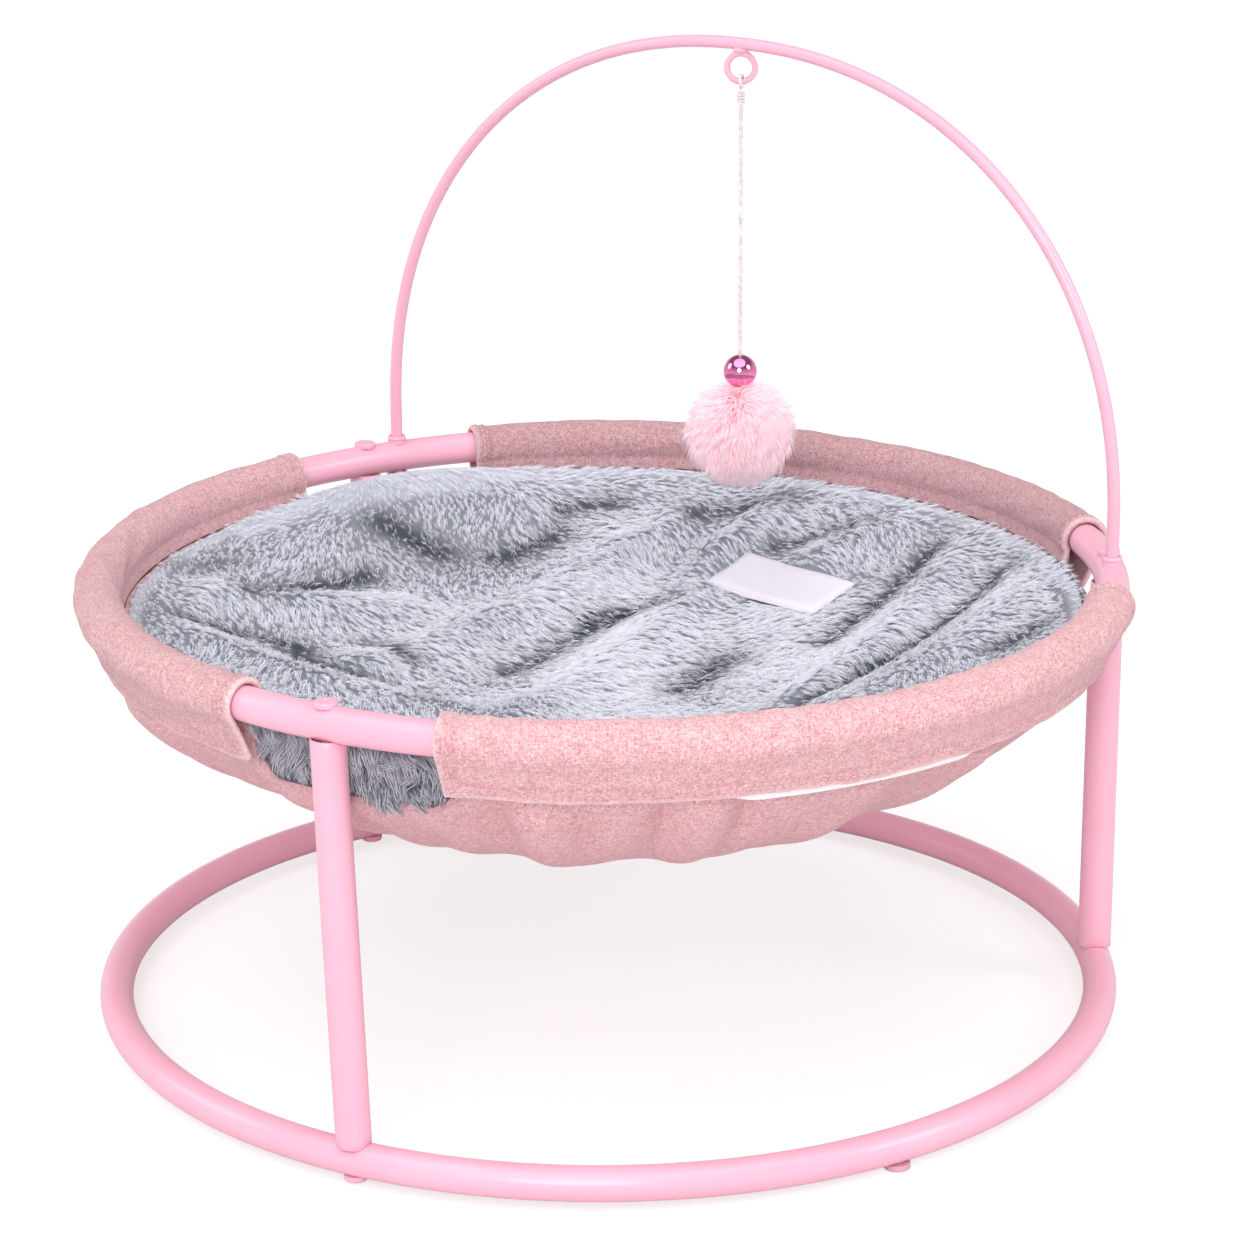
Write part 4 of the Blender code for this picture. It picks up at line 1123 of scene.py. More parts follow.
@piece_operator
class CATBED_OT_fasteners(bpy.types.Operator):
    """Bolts, collars, nuts, inserts and glides"""

    bl_idname = "catbed.fasteners"
    bl_label = "Fasteners"

    def execute(self, context):
        paint, steel = paint_material(), steel_material()
        for side in LEG_BASE_DEG:
            for level, face, up in (("rim", RIM_Z + TUBE_R, 1), ("base", BASE_Z - TUBE_R, -1)):
                self.bolt(level + "_bolt_" + side, leg_axis(side), face, up, paint)
            for end, finish in (("top", paint), ("bottom", steel)):
                slots = frame["nodes"]["leg_insert_" + end + "_" + side].data.materials
                slots.clear()
                slots.append(finish)
        for number, degrees in enumerate(GLIDE_DEG, 1):
            self.glide(number, around(RING_R, degrees), glide_material())
        for side, degrees in ARCH_FOOT_DEG.items():
            self.collar(side, around(RING_R, degrees), paint)
            self.nut(side, around(RING_R, degrees), paint)
        return {"FINISHED"}

    def glide(self, number, foot, finish):
        """A push-in glide: a flat foot and the peg over it."""
        wide, thick, peg, top = 0.006, 0.0027, 0.0025, 0.0077
        corners = [(0, 0.0), (wide, 0.0), (wide, thick), (peg, thick), (peg, top), (0, top)]
        outline = rounded(corners, 0.0005)
        obj = lathe("base_glide_%d_foot" % number, outline, finish, foot, sides=32)
        place_piece(obj, "bed", "moulded_glide", "base_glide_%d" % number)

    def bolt(self, name, axis, face, up, paint):
        """A button head with its dimple, and the shank that goes through the ring into the leg."""
        head, shank, dimple, top, sunk, length = 0.0054, 0.003, 0.0014, 0.0022, 0.0006, 0.0277
        floor = top - 0.0011
        outline = [(0, -length), (shank, -length), (shank, -sunk), (head, -sunk), (head, top * 0.62),
                   (head * 0.93, top * 0.90), (head * 0.6, top), (dimple * 1.1, top), (dimple * 0.8, floor),
                   (0, floor)]
        shape = [(r, face + up * h) for r, h in rounded(outline, 0.00030, 4)]
        place_piece(lathe(name + "_button", shape, paint, *axis), "bed", "pink_powder_coat", name)

    def collar(self, side, foot, paint):
        """Two washers on the rim, with a groove between them."""
        rim_top = RIM_Z + TUBE_R
        wide, waist, hole = 0.0048, 0.0043, 0.0031
        outline = [(r, rim_top + h) for r, h in (
            (hole, -0.0010), (wide, -0.0010), (wide, 0.0005), (waist, 0.0008), (waist, 0.0013), (wide, 0.0016),
            (wide, 0.0026), (wide - 0.0004, 0.0032), (hole + 0.0002, 0.0032))]
        rim = lathe("arch_collar_%s_washer" % side, outline, paint, foot, closed=True)
        place_piece(rim, "bed", "pink_powder_coat", "arch_collar_" + side)

    def nut(self, side, foot, paint):
        """A hexagon nut with chamfered corners."""
        top = RIM_Z - TUBE_R - 0.0003
        corner, high, hole = 0.00575, 0.004, 0.0031
        turn = turns(48)
        flat = corner * math.cos(math.pi / 6)
        hexagon = flat / np.cos((turn + math.pi / 6) % (math.pi / 3) - math.pi / 6)
        half = [(hole, 0.0004), (hole + 0.0004, 0.0), (np.minimum(hexagon, flat * 0.99), 0.0),
                (np.minimum(hexagon, flat * 1.07), 0.0004), (hexagon, 0.0009)]
        whole = [(reach, top - depth) for reach, depth in half]
        whole += [(reach, top - high + depth) for reach, depth in reversed(half)]
        rows = [polar(reach, turn, z, foot) for reach, z in whole]
        nut = grid_piece("arch_nut_%s_hexagon" % side, rows, paint, wrap_rows=True)
        place_piece(nut, "bed", "pink_powder_coat", "arch_nut_" + side)


@piece_operator
class CATBED_OT_arch(bpy.types.Operator):
    """The bent rod over the bed and the wire eye welded under it"""

    bl_idname = "catbed.arch"
    bl_label = "Arch and Eye"

    def execute(self, context):
        paint = paint_material()
        straight = (STUD_END, 0.205, 0.213, 0.221, 0.230)
        route = [(-ARCH_HALF, ARCH_Y, z) for z in straight]
        for angle in np.linspace(0, math.pi, 161):
            across = math.copysign(abs(math.cos(angle)) ** ARCH_FULLNESS, -math.cos(angle))
            route.append((ARCH_HALF * across, ARCH_Y,
                          ARCH_SPRING + ARCH_RISE * abs(math.sin(angle)) ** ARCH_FULLNESS))
        route += [(ARCH_HALF, ARCH_Y, z) for z in reversed(straight)]
        rod = swept_tube("toy_arch_rod", route, plain_round(ROD_R), paint)
        place_piece(rod, "bed", "pink_powder_coat", "toy_arch")
        rows = []
        for angle in turns(96):
            radial = EYE_ALONG * math.sin(angle) + UP * math.cos(angle)
            rows.append([EYE_CENTRE + radial * EYE_BEND_R
                         + (radial * math.cos(s) + EYE_SQUARE * math.sin(s)) * EYE_WIRE_R for s in turns(20)])
        eye = grid_piece("eye_ring_wire", rows, paint, wrap_rows=True)
        place_piece(eye, "bed", "pink_powder_coat", "eye_ring")
        place_piece(self.weld(paint), "bed", "pink_powder_coat")
        return {"FINISHED"}

    def weld(self, paint):
        """A bead of weld that runs from the rod down both shoulders of the eye."""
        long, thick, high = 0.0036, 0.0021, 0.0024
        centre = EYE_CENTRE + UP * (EYE_BEND_R + EYE_WIRE_R + 0.0006) + EYE_SQUARE * 0.0006
        rows = []
        for ways in ball_ways(16, 28):
            row = []
            for way in ways:
                skirt = 1 + 0.55 * max(0.0, -way.z) * abs(way.x)
                grain = 1 + 0.05 * noise.noise(way * 2.3)
                row.append(centre + (EYE_ALONG * way.x * long * skirt + EYE_SQUARE * way.y * thick
                                     + UP * way.z * high) * grain)
            rows.append(row)
        return grid_piece("eye_weld", rows, paint, poles=(centre + UP * high, centre - UP * high))


@piece_operator
class CATBED_OT_toy(bpy.types.Operator):
    """The cord, its loop and knot, the plated bead and the pom-pom"""

    bl_idname = "catbed.toy"
    bl_label = "Hanging Toy"

    def execute(self, context):
        cord = cord_material()
        x, y = EYE_CENTRE.x, EYE_CENTRE.y
        route = [(x, y, CORD_TOP + (CORD_END - CORD_TOP) * k / 240) for k in range(241)]
        bead = self.bead(x, y)
        fluff = self.pompom(x, y)
        line = swept_tube("toy_cord_line", route, self.twisted, cord, sides=16)
        place_piece(line, "toy_line", "white_thread", "toy_cord")
        self.loop(cord)
        self.knot(cord, x, y)
        return {"FINISHED"}

    def twisted(self, length, turn):
        """The cord's three strands."""
        return CORD_R * (0.80 + 0.22 * np.abs(np.cos(1.5 * turn - length * 2 * math.pi / STRAND_PITCH)))

    def loop(self, cord):
        """The cord's loop on the wire of the eye."""
        centre = EYE_CENTRE - UP * EYE_BEND_R
        route = []
        for angle in turns(97):
            lift = 0.35 * CORD_R * math.sin(2 * angle)
            route.append(centre + (EYE_SQUARE * math.sin(angle) - UP * math.cos(angle)) * LOOP_BEND_R
                         + EYE_ALONG * lift)
        ring = swept_tube("cord_loop_turn", route, self.twisted, cord, sides=12)
        place_piece(ring, "toy_loop", "white_thread", "cord_loop")

    def knot(self, cord, x, y):
        """The cord's end wound three times round itself."""
        winds, wound_r, thread_r, inside = 3.2, 0.00125, 0.00085, 0.0011
        route = []
        for t in np.linspace(0, 1, 121):
            angle = 2 * math.pi * winds * t
            reach = wound_r * (1 - 0.25 * abs(2 * t - 1) ** 3)
            route.append((x + reach * math.cos(angle), y + reach * math.sin(angle),
                          KNOT_TOP - inside - (KNOT_TOP - KNOT_BOTTOM - 2 * inside) * t))
        knot = swept_tube("cord_knot_wraps", route, plain_round(thread_r), cord, sides=12)
        place_piece(knot, "toy_line", "white_thread", "cord_knot")

    def bead(self, x, y):
        """A ball with a bore that the cord runs through."""
        bore, edge = CORD_R + 0.0003, 0.0004
        middle = BEAD_TOP - BEAD_R
        first = math.asin(bore / BEAD_R)
        outline = [(bore, middle - BEAD_R * math.cos(first) + edge)]
        outline += [(BEAD_R * math.sin(angle), middle - BEAD_R * math.cos(angle))
                    for angle in np.linspace(first, math.pi - first, 41)]
        outline.append((bore, middle + BEAD_R * math.cos(first) - edge))
        obj = lathe("toy_bead_ball", outline, bead_material(), Vector((x, y, 0)), sides=56,
                    closed=True)
        return place_piece(obj, "toy_lure", "pink_chrome", "toy_bead")

    def pompom(self, x, y):
        """A soft core with long hair that falls away from the bead."""
        root, tip = colours().fluff_root, colours().fluff_tip
        middle = Vector((x, y, POMPOM_MIDDLE + 0.0012))
        core_r = 0.0185
        rows = [[middle + way * core_r for way in ways] for ways in ball_ways(24, 36)]
        core = grid_piece("toy_pompom_core", rows,
                          backing_material("pom-pom core finish", root, [c * 0.85 for c in root]),
                          poles=(middle + UP * core_r, middle - UP * core_r))
        place_piece(core, "toy_lure", "pink_fluff", "toy_pompom")
        points = [v.co.copy() for v in core.data.vertices]
        comb, pile = [], []
        noise.seed_set(SWIRL_SEED)
        for p in points:
            way = (p - middle).normalized()
            comb.append(tuple(-UP + way * way.z + noise.noise_vector(way * 1.7) * 0.35))
            uneven = noise.noise(way * 2.9 + Vector((5, 1, 2)))
            pile.append(1.0 - 0.22 * max(0.0, way.z) ** 2 + 0.12 * uneven)
        kinds = hidden_collection("fluff kinds", [
            tuft_shape("fluff_%d" % k, 5, sizes().fluff_length, 0.00056, 0.0016, bend, 0.15, 40 + k)
            for k, bend in enumerate(((30, 56, 72), (24, 50, 66), (38, 62, 78)))])
        surface = (points, faces_of(core.data), comb, pile, [0.0] * len(points))
        hair = grow_tufts("toy_pompom_hair", surface, kinds,
                          hair_material("pink fluff finish", root, tip, 0.05, 0.6, 0.22), 0.0004,
                          sizes().fluff_hairs / (4 * math.pi * core_r ** 2), 0.25, 3, 0.80, 1.08)
        drop_collection(kinds)
        place_piece(hair, "toy_lure", "pink_fluff")
        return [core, hair]


@piece_operator
class CATBED_OT_bowl(bpy.types.Operator):
    """The linen bowl that hangs inside the rim"""

    bl_idname = "catbed.bowl"
    bl_label = "Linen Bowl"

    def execute(self, context):
        degrees = np.arange(384) * 360 / 384
        shares = np.concatenate([np.linspace(*steps) for steps in (
            (0.04, 0.6, 12), (0.64, 0.94, 21), (0.95, 1.0, 13))])
        lips = np.linspace(0.12, 1.0, 7)
        rows = bowl_rows(shares, degrees, 0.0) + lip_rows(lips, degrees, 0.0)
        rows += lip_rows(lips[::-1], degrees, SHELL_WALL) + bowl_rows(shares[::-1], degrees, SHELL_WALL)
        rows = np.array(rows)
        steps = np.linalg.norm(np.diff(rows, axis=0), axis=2).mean(1)
        first_reach = 0.009
        reach = first_reach + np.concatenate([[0], np.cumsum(steps[:len(rows) // 2 - 1])])
        reach = np.concatenate([reach, reach[::-1]])
        turn = np.radians(np.append(degrees, 360.0))
        uv = reach[:, None, None] * np.stack([np.cos(turn), np.sin(turn)], -1)[None]
        bowl = grid_piece("hammock_bowl", rows, linen_material("pink linen finish", 1.0), uv=uv,
                          poles=((0, 0, SHELL_FLOOR), (0, 0, SHELL_FLOOR + SHELL_WALL)))
        place_piece(bowl, "bed", "pink_linen", "hammock_shell")
        return {"FINISHED"}


@piece_operator
class CATBED_OT_plush(bpy.types.Operator):
    """The padded liner and its grey plush"""

    bl_idname = "catbed.plush"
    bl_label = "Plush Liner"

    # How far below its final place the pad's face starts, and the most that the simulation may move it
    settle = 0.0045
    most_move = 0.005
    cloth_cell = 0.005
    cloth_frames = 20
    # Where the cloth simulation stops being used, towards the pad's edge
    firm_from, firm_to = 0.86, 0.98
    # The level way towards the photograph's camera
    to_front = (0.54, -0.84)

    def execute(self, context):
        pad = self.pad()
        self.simulate(pad)
        self.fur(pad)
        return {"FINISHED"}

    def pad_rows(self):
        """The pad's skin from the middle of its face, over its edge and down to the middle of its underside."""
        degrees = np.arange(240) * 360 / 240
        turn = np.radians(degrees)
        inset = SHELL_WALL + 0.0010
        edge = bowl_rows([1.0], degrees, inset)[0]
        lip = lip_rows([1.0], degrees, inset)[0]
        outer = np.minimum(PLUSH_R, np.hypot(lip[:, 0], lip[:, 1]))
        rows = []
        for share in np.concatenate([np.linspace(0.04, 0.9, 40), (0.94, 0.97, 0.99, 1.0)]):
            x, y = share * outer * np.cos(turn), share * outer * np.sin(turn)
            lower = self.settle * (1 - smooth_share(share, self.firm_from, self.firm_to))
            rows.append(np.stack([x, y, plush_top(x, y) - lower], -1))
        pull = np.minimum(1.0, pinch(degrees) / 0.33)[:, None]
        side = rows[-1] + polar(0.0008, turn, -0.003)
        rows.append(side * (1 - pull) + lip * pull)
        rows += [edge] + [bowl_rows([share], degrees, inset)[0] for share in np.linspace(0.96, 0.06, 16)]
        return rows

    def pad(self):
        finish = backing_material("plush backing finish", (0.48, 0.49, 0.57), (0.56, 0.57, 0.65))
        centre = float(plush_top(0.0, 0.0)) - self.settle
        pad = grid_piece("plush_pad", self.pad_rows(), finish,
                         poles=((0, 0, centre), (0, 0, SHELL_FLOOR + 0.003)))
        place_piece(pad, "bed", "grey_plush", "plush_liner")
        return pad

    def simulate(self, pad):
        """Lets the pad's face fill out like stuffed cloth, held within a few millimetres of its cut."""
        cloth = new_object("settling pad", pad.data.copy())
        remesh = cloth.modifiers.new("even mesh", "REMESH")
        remesh.mode = "VOXEL"
        remesh.voxel_size = self.cloth_cell
        bpy.context.view_layer.update()
        evaluated_mesh(cloth, "settling pad")
        start = places_of(cloth.data)
        settings = cloth.modifiers.new("cloth", "CLOTH").settings
        settings.quality = 5
        settings.mass = 0.3
        settings.tension_stiffness = settings.compression_stiffness = 12
        settings.bending_stiffness = 0.6
        settings.shrink_min = -0.02
        settings.use_pressure = True
        settings.uniform_pressure_force = 4
        settings.effector_weights.gravity = 0
        for number in range(1, self.cloth_frames + 1):
            bpy.context.scene.frame_set(number)
        graph = bpy.context.evaluated_depsgraph_get()
        moved_mesh = bpy.data.meshes.new_from_object(cloth.evaluated_get(graph))
        move = places_of(moved_mesh) - start
        bpy.context.scene.frame_set(1)
        size = np.linalg.norm(move, axis=1)
        move = move * (self.most_move * np.tanh(size / self.most_move) / np.maximum(size, 1e-9))[:, None]
        polygons = faces_of(cloth.data)
        surface = BVHTree.FromPolygons([Vector(p) for p in start.tolist()], polygons)
        for vertex in pad.data.vertices:
            place = vertex.co
            if vertex.normal.z < 0.2:
                continue
            hit, _, index, _ = surface.find_nearest(place)
            if index is None:
                continue
            corners = polygons[index]
            weights = np.array([1.0 / max(1e-6, (Vector(start[c].tolist()) - hit).length) for c in corners])
            lift = (move[list(corners), 2] * weights).sum() / weights.sum()
            firm = smooth_share(math.hypot(place.x, place.y) / PLUSH_R, self.firm_from, self.firm_to)
            vertex.co.z += float(lift) * (1 - float(firm))
        drop(cloth)
        bpy.data.meshes.remove(moved_mesh)

    def combed(self, x, y):
        """The way the hair lies at a place of the plush."""
        toward = smooth_share((self.to_front[0] * x + self.to_front[1] * y) / PLUSH_R, 0.35, 0.90)
        angle = np.radians(-27 + 17 * toward)
        for size, across, along, start in COMB_WAVES:
            angle = angle + size * np.sin(across * x + along * y + start)
        return polar(1.0, angle, 0.0)

    def fur(self, pad):
        """Tufts over the pad's face and over its edge where the frame is bare, in parts of a fair size."""
        mesh = pad.data
        co = places_of(mesh).astype(float)
        x, y = co[:, 0], co[:, 1]
        radius = np.hypot(x, y)
        outward = co * (1, 1, 0) / np.maximum(radius, 1e-6)[:, None]
        share = radius / PLUSH_R
        low = co[:, 2] < PLUSH_EDGE - 0.002
        rim = smooth_share(share, 0.88, 1.0)
        back = smooth_share(-outward @ (*self.to_front, 0.0), -0.60, -0.05)
        rim_back = rim * back
        comb = (self.combed(x, y) * (1 - 0.10 * rim - 0.15 * rim_back)[:, None]
                + outward * (0.15 * rim + 0.30 * rim_back)[:, None])
        spill = (pinch(np.degrees(np.arctan2(y, x)) % 360) * low * (share > 0.9))[:, None]
        comb = comb * (1 - spill) + (outward * 0.3 + comb * 0.25 + (0, 0, -1.0)) * spill
        # Painted shade: the hollows (less near the rim) and the pad's low side under the bare rim are darkened
        # through the shade attribute, which also thins and tousles the hair there
        shade = np.minimum(1.0, along_folds(x, y, HOLLOWS)) ** 1.5 * (1 - 0.6 * rim)
        store(mesh, "shade", np.maximum(shade, 0.6 * low))
        near_label = 1 - smooth_share(past_label(x, y, 0.002), 0.004, 0.011)
        pile = 0.90 + 0.12 * np.sin(33 * x + 1.0) * np.sin(29 * y + 2.0)
        pile = (pile - 0.10 * shade - 0.14 * rim) * (1 - 0.25 * near_label)
        parts = [[] for _ in range(9)]
        for face in mesh.polygons:
            centre = face.center
            low_lip = centre.z < 0.185 and math.hypot(centre.x, centre.y) > 0.215
            if face.normal.z < 0.25 or low_lip or self.under_label(centre):
                continue
            part = int(((math.degrees(math.atan2(centre.y, centre.x)) + 180) % 360) // 40)
            parts[part].append(tuple(face.vertices))
        s, c = sizes(), colours()
        finish = hair_material("grey plush finish", c.plush_root, c.plush_tip, 0.20, 0.5, 0.26)
        kinds = hidden_collection("tuft kinds", [
            tuft_shape("tuft_%d" % k, 9, s.pile_length, 0.00046, 0.0019, bend, 0.22, 70 + k, 2, 0.22)
            for k, bend in enumerate(((70, 90), (63, 86), (76, 94), (67, 88)))])
        for k, faces in enumerate(parts):
            used = sorted({i for face in faces for i in face})
            index = {old: new for new, old in enumerate(used)}
            surface = (co[used].tolist(), [tuple(index[i] for i in face) for face in faces],
                       comb[used], pile[used], shade[used])
            hair = grow_tufts("plush_fur_%d" % (k + 1), surface, kinds, finish, s.tuft_spacing, 260000.0,
                              0.15, 20 + k)
            place_piece(hair, "bed", "grey_plush")
        drop_collection(kinds)
        # The hanging hair has its own darker finish: painted shade for hair that hangs in the shadow of the tube
        # and sleeves
        self.curtains(hair_material("grey plush side finish", (0.22, 0.22, 0.27), (0.76, 0.75, 0.84),
                                    0.4, 0.85, 0.03))

    def curtains(self, finish):
        """Long tufts that hang over the pad's side where the rim is bare."""
        high, wide, past_ends = 8, 16, 0.8
        top, reach_out, over_lip = 0.2010, 0.2270, 0.0015
        points, faces, comb, pile, shade = [], [], [], [], []
        for first, last in OPENING_DEG.values():
            columns = np.linspace(first - past_ends, last + past_ends, wide)
            lips = lip_rows([1.0], columns, 0.0)[0][:, 2]
            for j in range(high):
                for i, (degrees, lip) in enumerate(zip(columns, lips)):
                    height = top + (lip + over_lip - top) * j / (high - 1)
                    out, round_way = around(1.0, degrees), around(1.0, degrees + 90)
                    points.append(tuple(around(reach_out, degrees, height)))
                    sway = noise.noise(Vector((degrees * 0.28, height * 90, 1.0))) * 1.1 + 0.25
                    over = 275.5 < degrees < 283 and j > 3
                    comb.append(tuple(out * (0.9 if over else 0.15) + round_way * sway - UP))
                    reach = 1.10 + 0.35 * noise.noise(Vector((degrees * 0.35, height * 60, 4.0)))
                    pile.append(reach if over else min(reach, (height - lip + over_lip) / 0.0107))
                    # Painted shade that deepens towards the lip
                    shade.append(0.20 + 0.30 * j / (high - 1))
                    if i and j:
                        a = len(points) - 1
                        faces.append((a, a - wide, a - wide - 1, a - 1))
        kinds = hidden_collection("clump kinds", [
            tuft_shape("clump_%d" % k, 20, 0.0125, 0.00058, 0.0036, bend, 0.85, 90 + k, 3, 0.25)
            for k, bend in enumerate(((48, 76, 96), (40, 70, 90), (56, 82, 102)))])
        hair = grow_tufts("plush_fur_sides", (points, faces, comb, pile, shade), kinds, finish,
                          0.0031, 220000.0, 0.45, 51)
        drop_collection(kinds)
        place_piece(hair, "bed", "grey_plush")

    def under_label(self, place):
        across, down = label_place(place.x, place.y)
        wide, high = LABEL_SIZE[0] / 2, LABEL_SIZE[1] / 2
        return -wide - 0.0015 < across < wide - 0.001 and -high + 0.001 < down < high + 0.0015


@piece_operator
class CATBED_OT_sleeves(bpy.types.Operator):
    """The linen sleeves round the rim, their hems, stitches and tapes"""

    bl_idname = "catbed.sleeves"
    bl_label = "Sleeves and Tapes"

    tuck = math.radians(210)
    # Half the cloth's thickness, and how far its stitches are from an edge
    half = 0.0013
    stitched = 0.0042
    # Finish, how far its colour is scaled, below 1 as painted shade for the back and the left, and the seed of
    # its creases
    looks = {"right": ("pink linen finish", 1.0, 3), "back": ("pink linen finish of the back", 0.74, 31),
             "left": ("pink linen finish of the left", 0.90, 61)}

    def execute(self, context):
        satin = satin_material("white tape finish", (0.90, 0.84, 0.86), (0.97, 0.94, 0.95), 0.0007)
        for side, (start, end) in SLEEVES.items():
            name, deep, seed = self.looks[side]
            self.sleeve(side, start, end, linen_material(name, deep), seed)
            self.tape(side, start, end, satin)
        return {"FINISHED"}

    def middle_line(self):
        """The cloth's middle from the tuck inside the rim, over the tube to the hem, with its outward side."""
        middle = (SLEEVE_INNER + SLEEVE_OUTER) / 2

        def on_tube(angle):
            return np.array((RING_R + middle * math.cos(angle), RIM_Z + middle * math.sin(angle)))

        tucked = np.array((0.2300, 0.2015))
        low = np.array((band_radius(middle, SLEEVE_HEM), SLEEVE_HEM))
        line, out = [], []
        for t in np.linspace(0, 1, 6)[:-1]:
            line.append(tucked + (on_tube(self.tuck) - tucked) * t)
            out.append((-1.0, 0.0) if t < 0.7 else (-0.94, -0.34))
        for angle in np.linspace(self.tuck, BAND_LEAVES, 46):
            line.append(on_tube(angle))
            out.append((math.cos(angle), math.sin(angle)))
        first, way = line[-1], out[-1]
        for t in np.linspace(0, 1, 19)[1:]:
            line.append(first + (low - first) * t)
            out.append(way)
        return np.array(line), np.array(out)

    def stations(self, start, end):
        """Angles along the sleeve, closer at its ends, and how full the cloth's thickness is there."""
        edge = math.degrees(self.half / RING_R)
        bend = np.linspace(0.25, math.pi / 2, 5)
        near, full = edge * (1 - np.cos(bend)), np.sin(bend)
        inside = np.linspace(start + edge * 2.2, end - edge * 2.2, int((end - start) / 0.42))
        angles = np.concatenate([start + near, inside, (end - near)[::-1]])
        return angles, np.concatenate([full, np.ones(len(inside)), full[::-1]])

    def surface(self, angles, arc, rest, seed):
        """Where the cloth's middle lies at each station: its hem waves and its face creases a little."""
        line, out = self.middle_line()
        along = np.arange(len(line)) / (len(line) - 1)
        band = smooth_share(along, 0.68, 1.0)
        rows, ways = [], []
        for k, angle in enumerate(angles):
            crease = (0.00030 * ripple(angle * 2.2 + 140 * along, seed, 6, 18)
                      + 0.0002 * ripple(angle * 7 - 90 * along, seed + 1, 6, 14))
            hem = 0.0013 * ripple(angle, seed + 2, 14, 36) * band
            calm = min(1.0, arc[k] / 0.01, rest[k] / 0.01)
            shift = (crease * calm + hem * 0.5 * calm) * np.clip(along * 6, 0, 1)
            shift = shift + 0.0014 * smooth_share(along, 0.78, 1.0)
            turn = math.radians(angle)
            rows.append(polar(line[:, 0] + out[:, 0] * shift, turn,
                              line[:, 1] + out[:, 1] * shift + hem * 0.8 * calm))
            ways.append(polar(out[:, 0], turn, out[:, 1]))
        return np.array(rows), np.array(ways)

    def sleeve(self, side, start, end, linen, seed):
        angles, full = self.stations(start, end)
        arc, rest = np.radians(angles - start) * RING_R, np.radians(end - angles) * RING_R
        rows, ways = self.surface(angles, arc, rest, seed)
        length = run_lengths(rows[len(rows) // 2])
        from_edge = np.minimum(np.minimum(arc, rest)[:, None], (length[-1] - length)[None, :])
        hem = 0.0008 * (1 - smooth_share(from_edge, 0.0064, 0.0078))
        line = 0.0007 * bell(from_edge, self.stitched, 0.0007)
        outer = rows + ways * ((self.half + hem - line) * full[:, None])[..., None]
        inner = rows - ways * (self.half * full[:, None])[..., None]
        round_end = rows[:, -1:] + (rows[:, -1:] - rows[:, -2:-1]) * 0.35
        grid = np.concatenate([outer, round_end, inner[:, ::-1]], axis=1)
        v = np.concatenate([length, [length[-1] + self.half],
                            (length[-1] + 2 * self.half) + (length[-1] - length[::-1]), [0]])
        uv = np.stack(np.meshgrid(arc, v, indexing="ij"), -1)
        cloth = self.closed_ends("sleeve_" + side + "_cloth", grid, linen, uv)
        # Painted highlight along the cloth's cut edges and the round end of the hem; painted shade along the
        # stitch line and where the hem's extra layer ends
        fold = bell(from_edge, 0, 0.0013) - 0.8 * bell(from_edge, self.stitched, 0.0007)
        fold = fold - 0.5 * bell(from_edge, 0.0080, 0.0010)
        fold = np.concatenate([fold, np.full((len(fold), 1), 0.3), np.zeros_like(fold)], axis=1)
        store(cloth.data, "fold", fold)
        place_piece(cloth, "bed", "pink_linen", "rim_sleeve_" + side)
        pink = satin_material("pink thread finish", (0.84, 0.44, 0.48), (0.93, 0.62, 0.65), 0.0006)
        stitch = sizes().stitch_length
        lines = self.stitch_rows(rows, ways, length, arc, rest)
        thread = stitch_lines("sleeve_" + side + "_stitches", lines, pink, stitch * 1.35, stitch, 0.0007)
        place_piece(thread, "bed", "pink_linen")

    def closed_ends(self, name, grid, material, uv):
        """A sleeve's closed skin, its two cut ends drawn together."""
        high, count = grid.shape[:2]
        obj = grid_piece(name, grid, material, uv=uv)
        work = bmesh.new()
        work.from_mesh(obj.data)
        work.verts.ensure_lookup_table()
        layer = work.loops.layers.uv.active
        for base in (0, (high - 1) * count):
            for i in range((count - 1) // 2 - 1):
                face = work.faces.new([work.verts[base + k] for k in (i, i + 1, count - 2 - i, count - 1 - i)])
                for loop, k in zip(face.loops, (i, i + 1, i + 1, i)):
                    loop[layer].uv = (uv[0, 0, 0], uv[0, k, 1])
        bmesh.ops.holes_fill(work, edges=[e for e in work.edges if e.is_boundary], sides=0)
        bmesh.ops.recalc_face_normals(work, faces=work.faces)
        work.to_mesh(obj.data)
        work.free()
        obj.data.shade_smooth()
        return obj

    def stitch_rows(self, rows, ways, length, arc, rest):
        """Lines of stitches beside both ends and above the hem."""
        face = rows + ways * (self.half + 0.0003)
        lines = []
        for inset in (arc, rest):
            k = int(np.argmin(np.abs(inset - self.stitched)))
            lines.append([face[k, i] for i in range(6, len(length) - 5)])
        i = int(np.argmin(np.abs(length[-1] - length - self.stitched)))
        lines.append([face[k, i] for k in range(len(arc)) if min(arc[k], rest[k]) > self.stitched])
        return lines

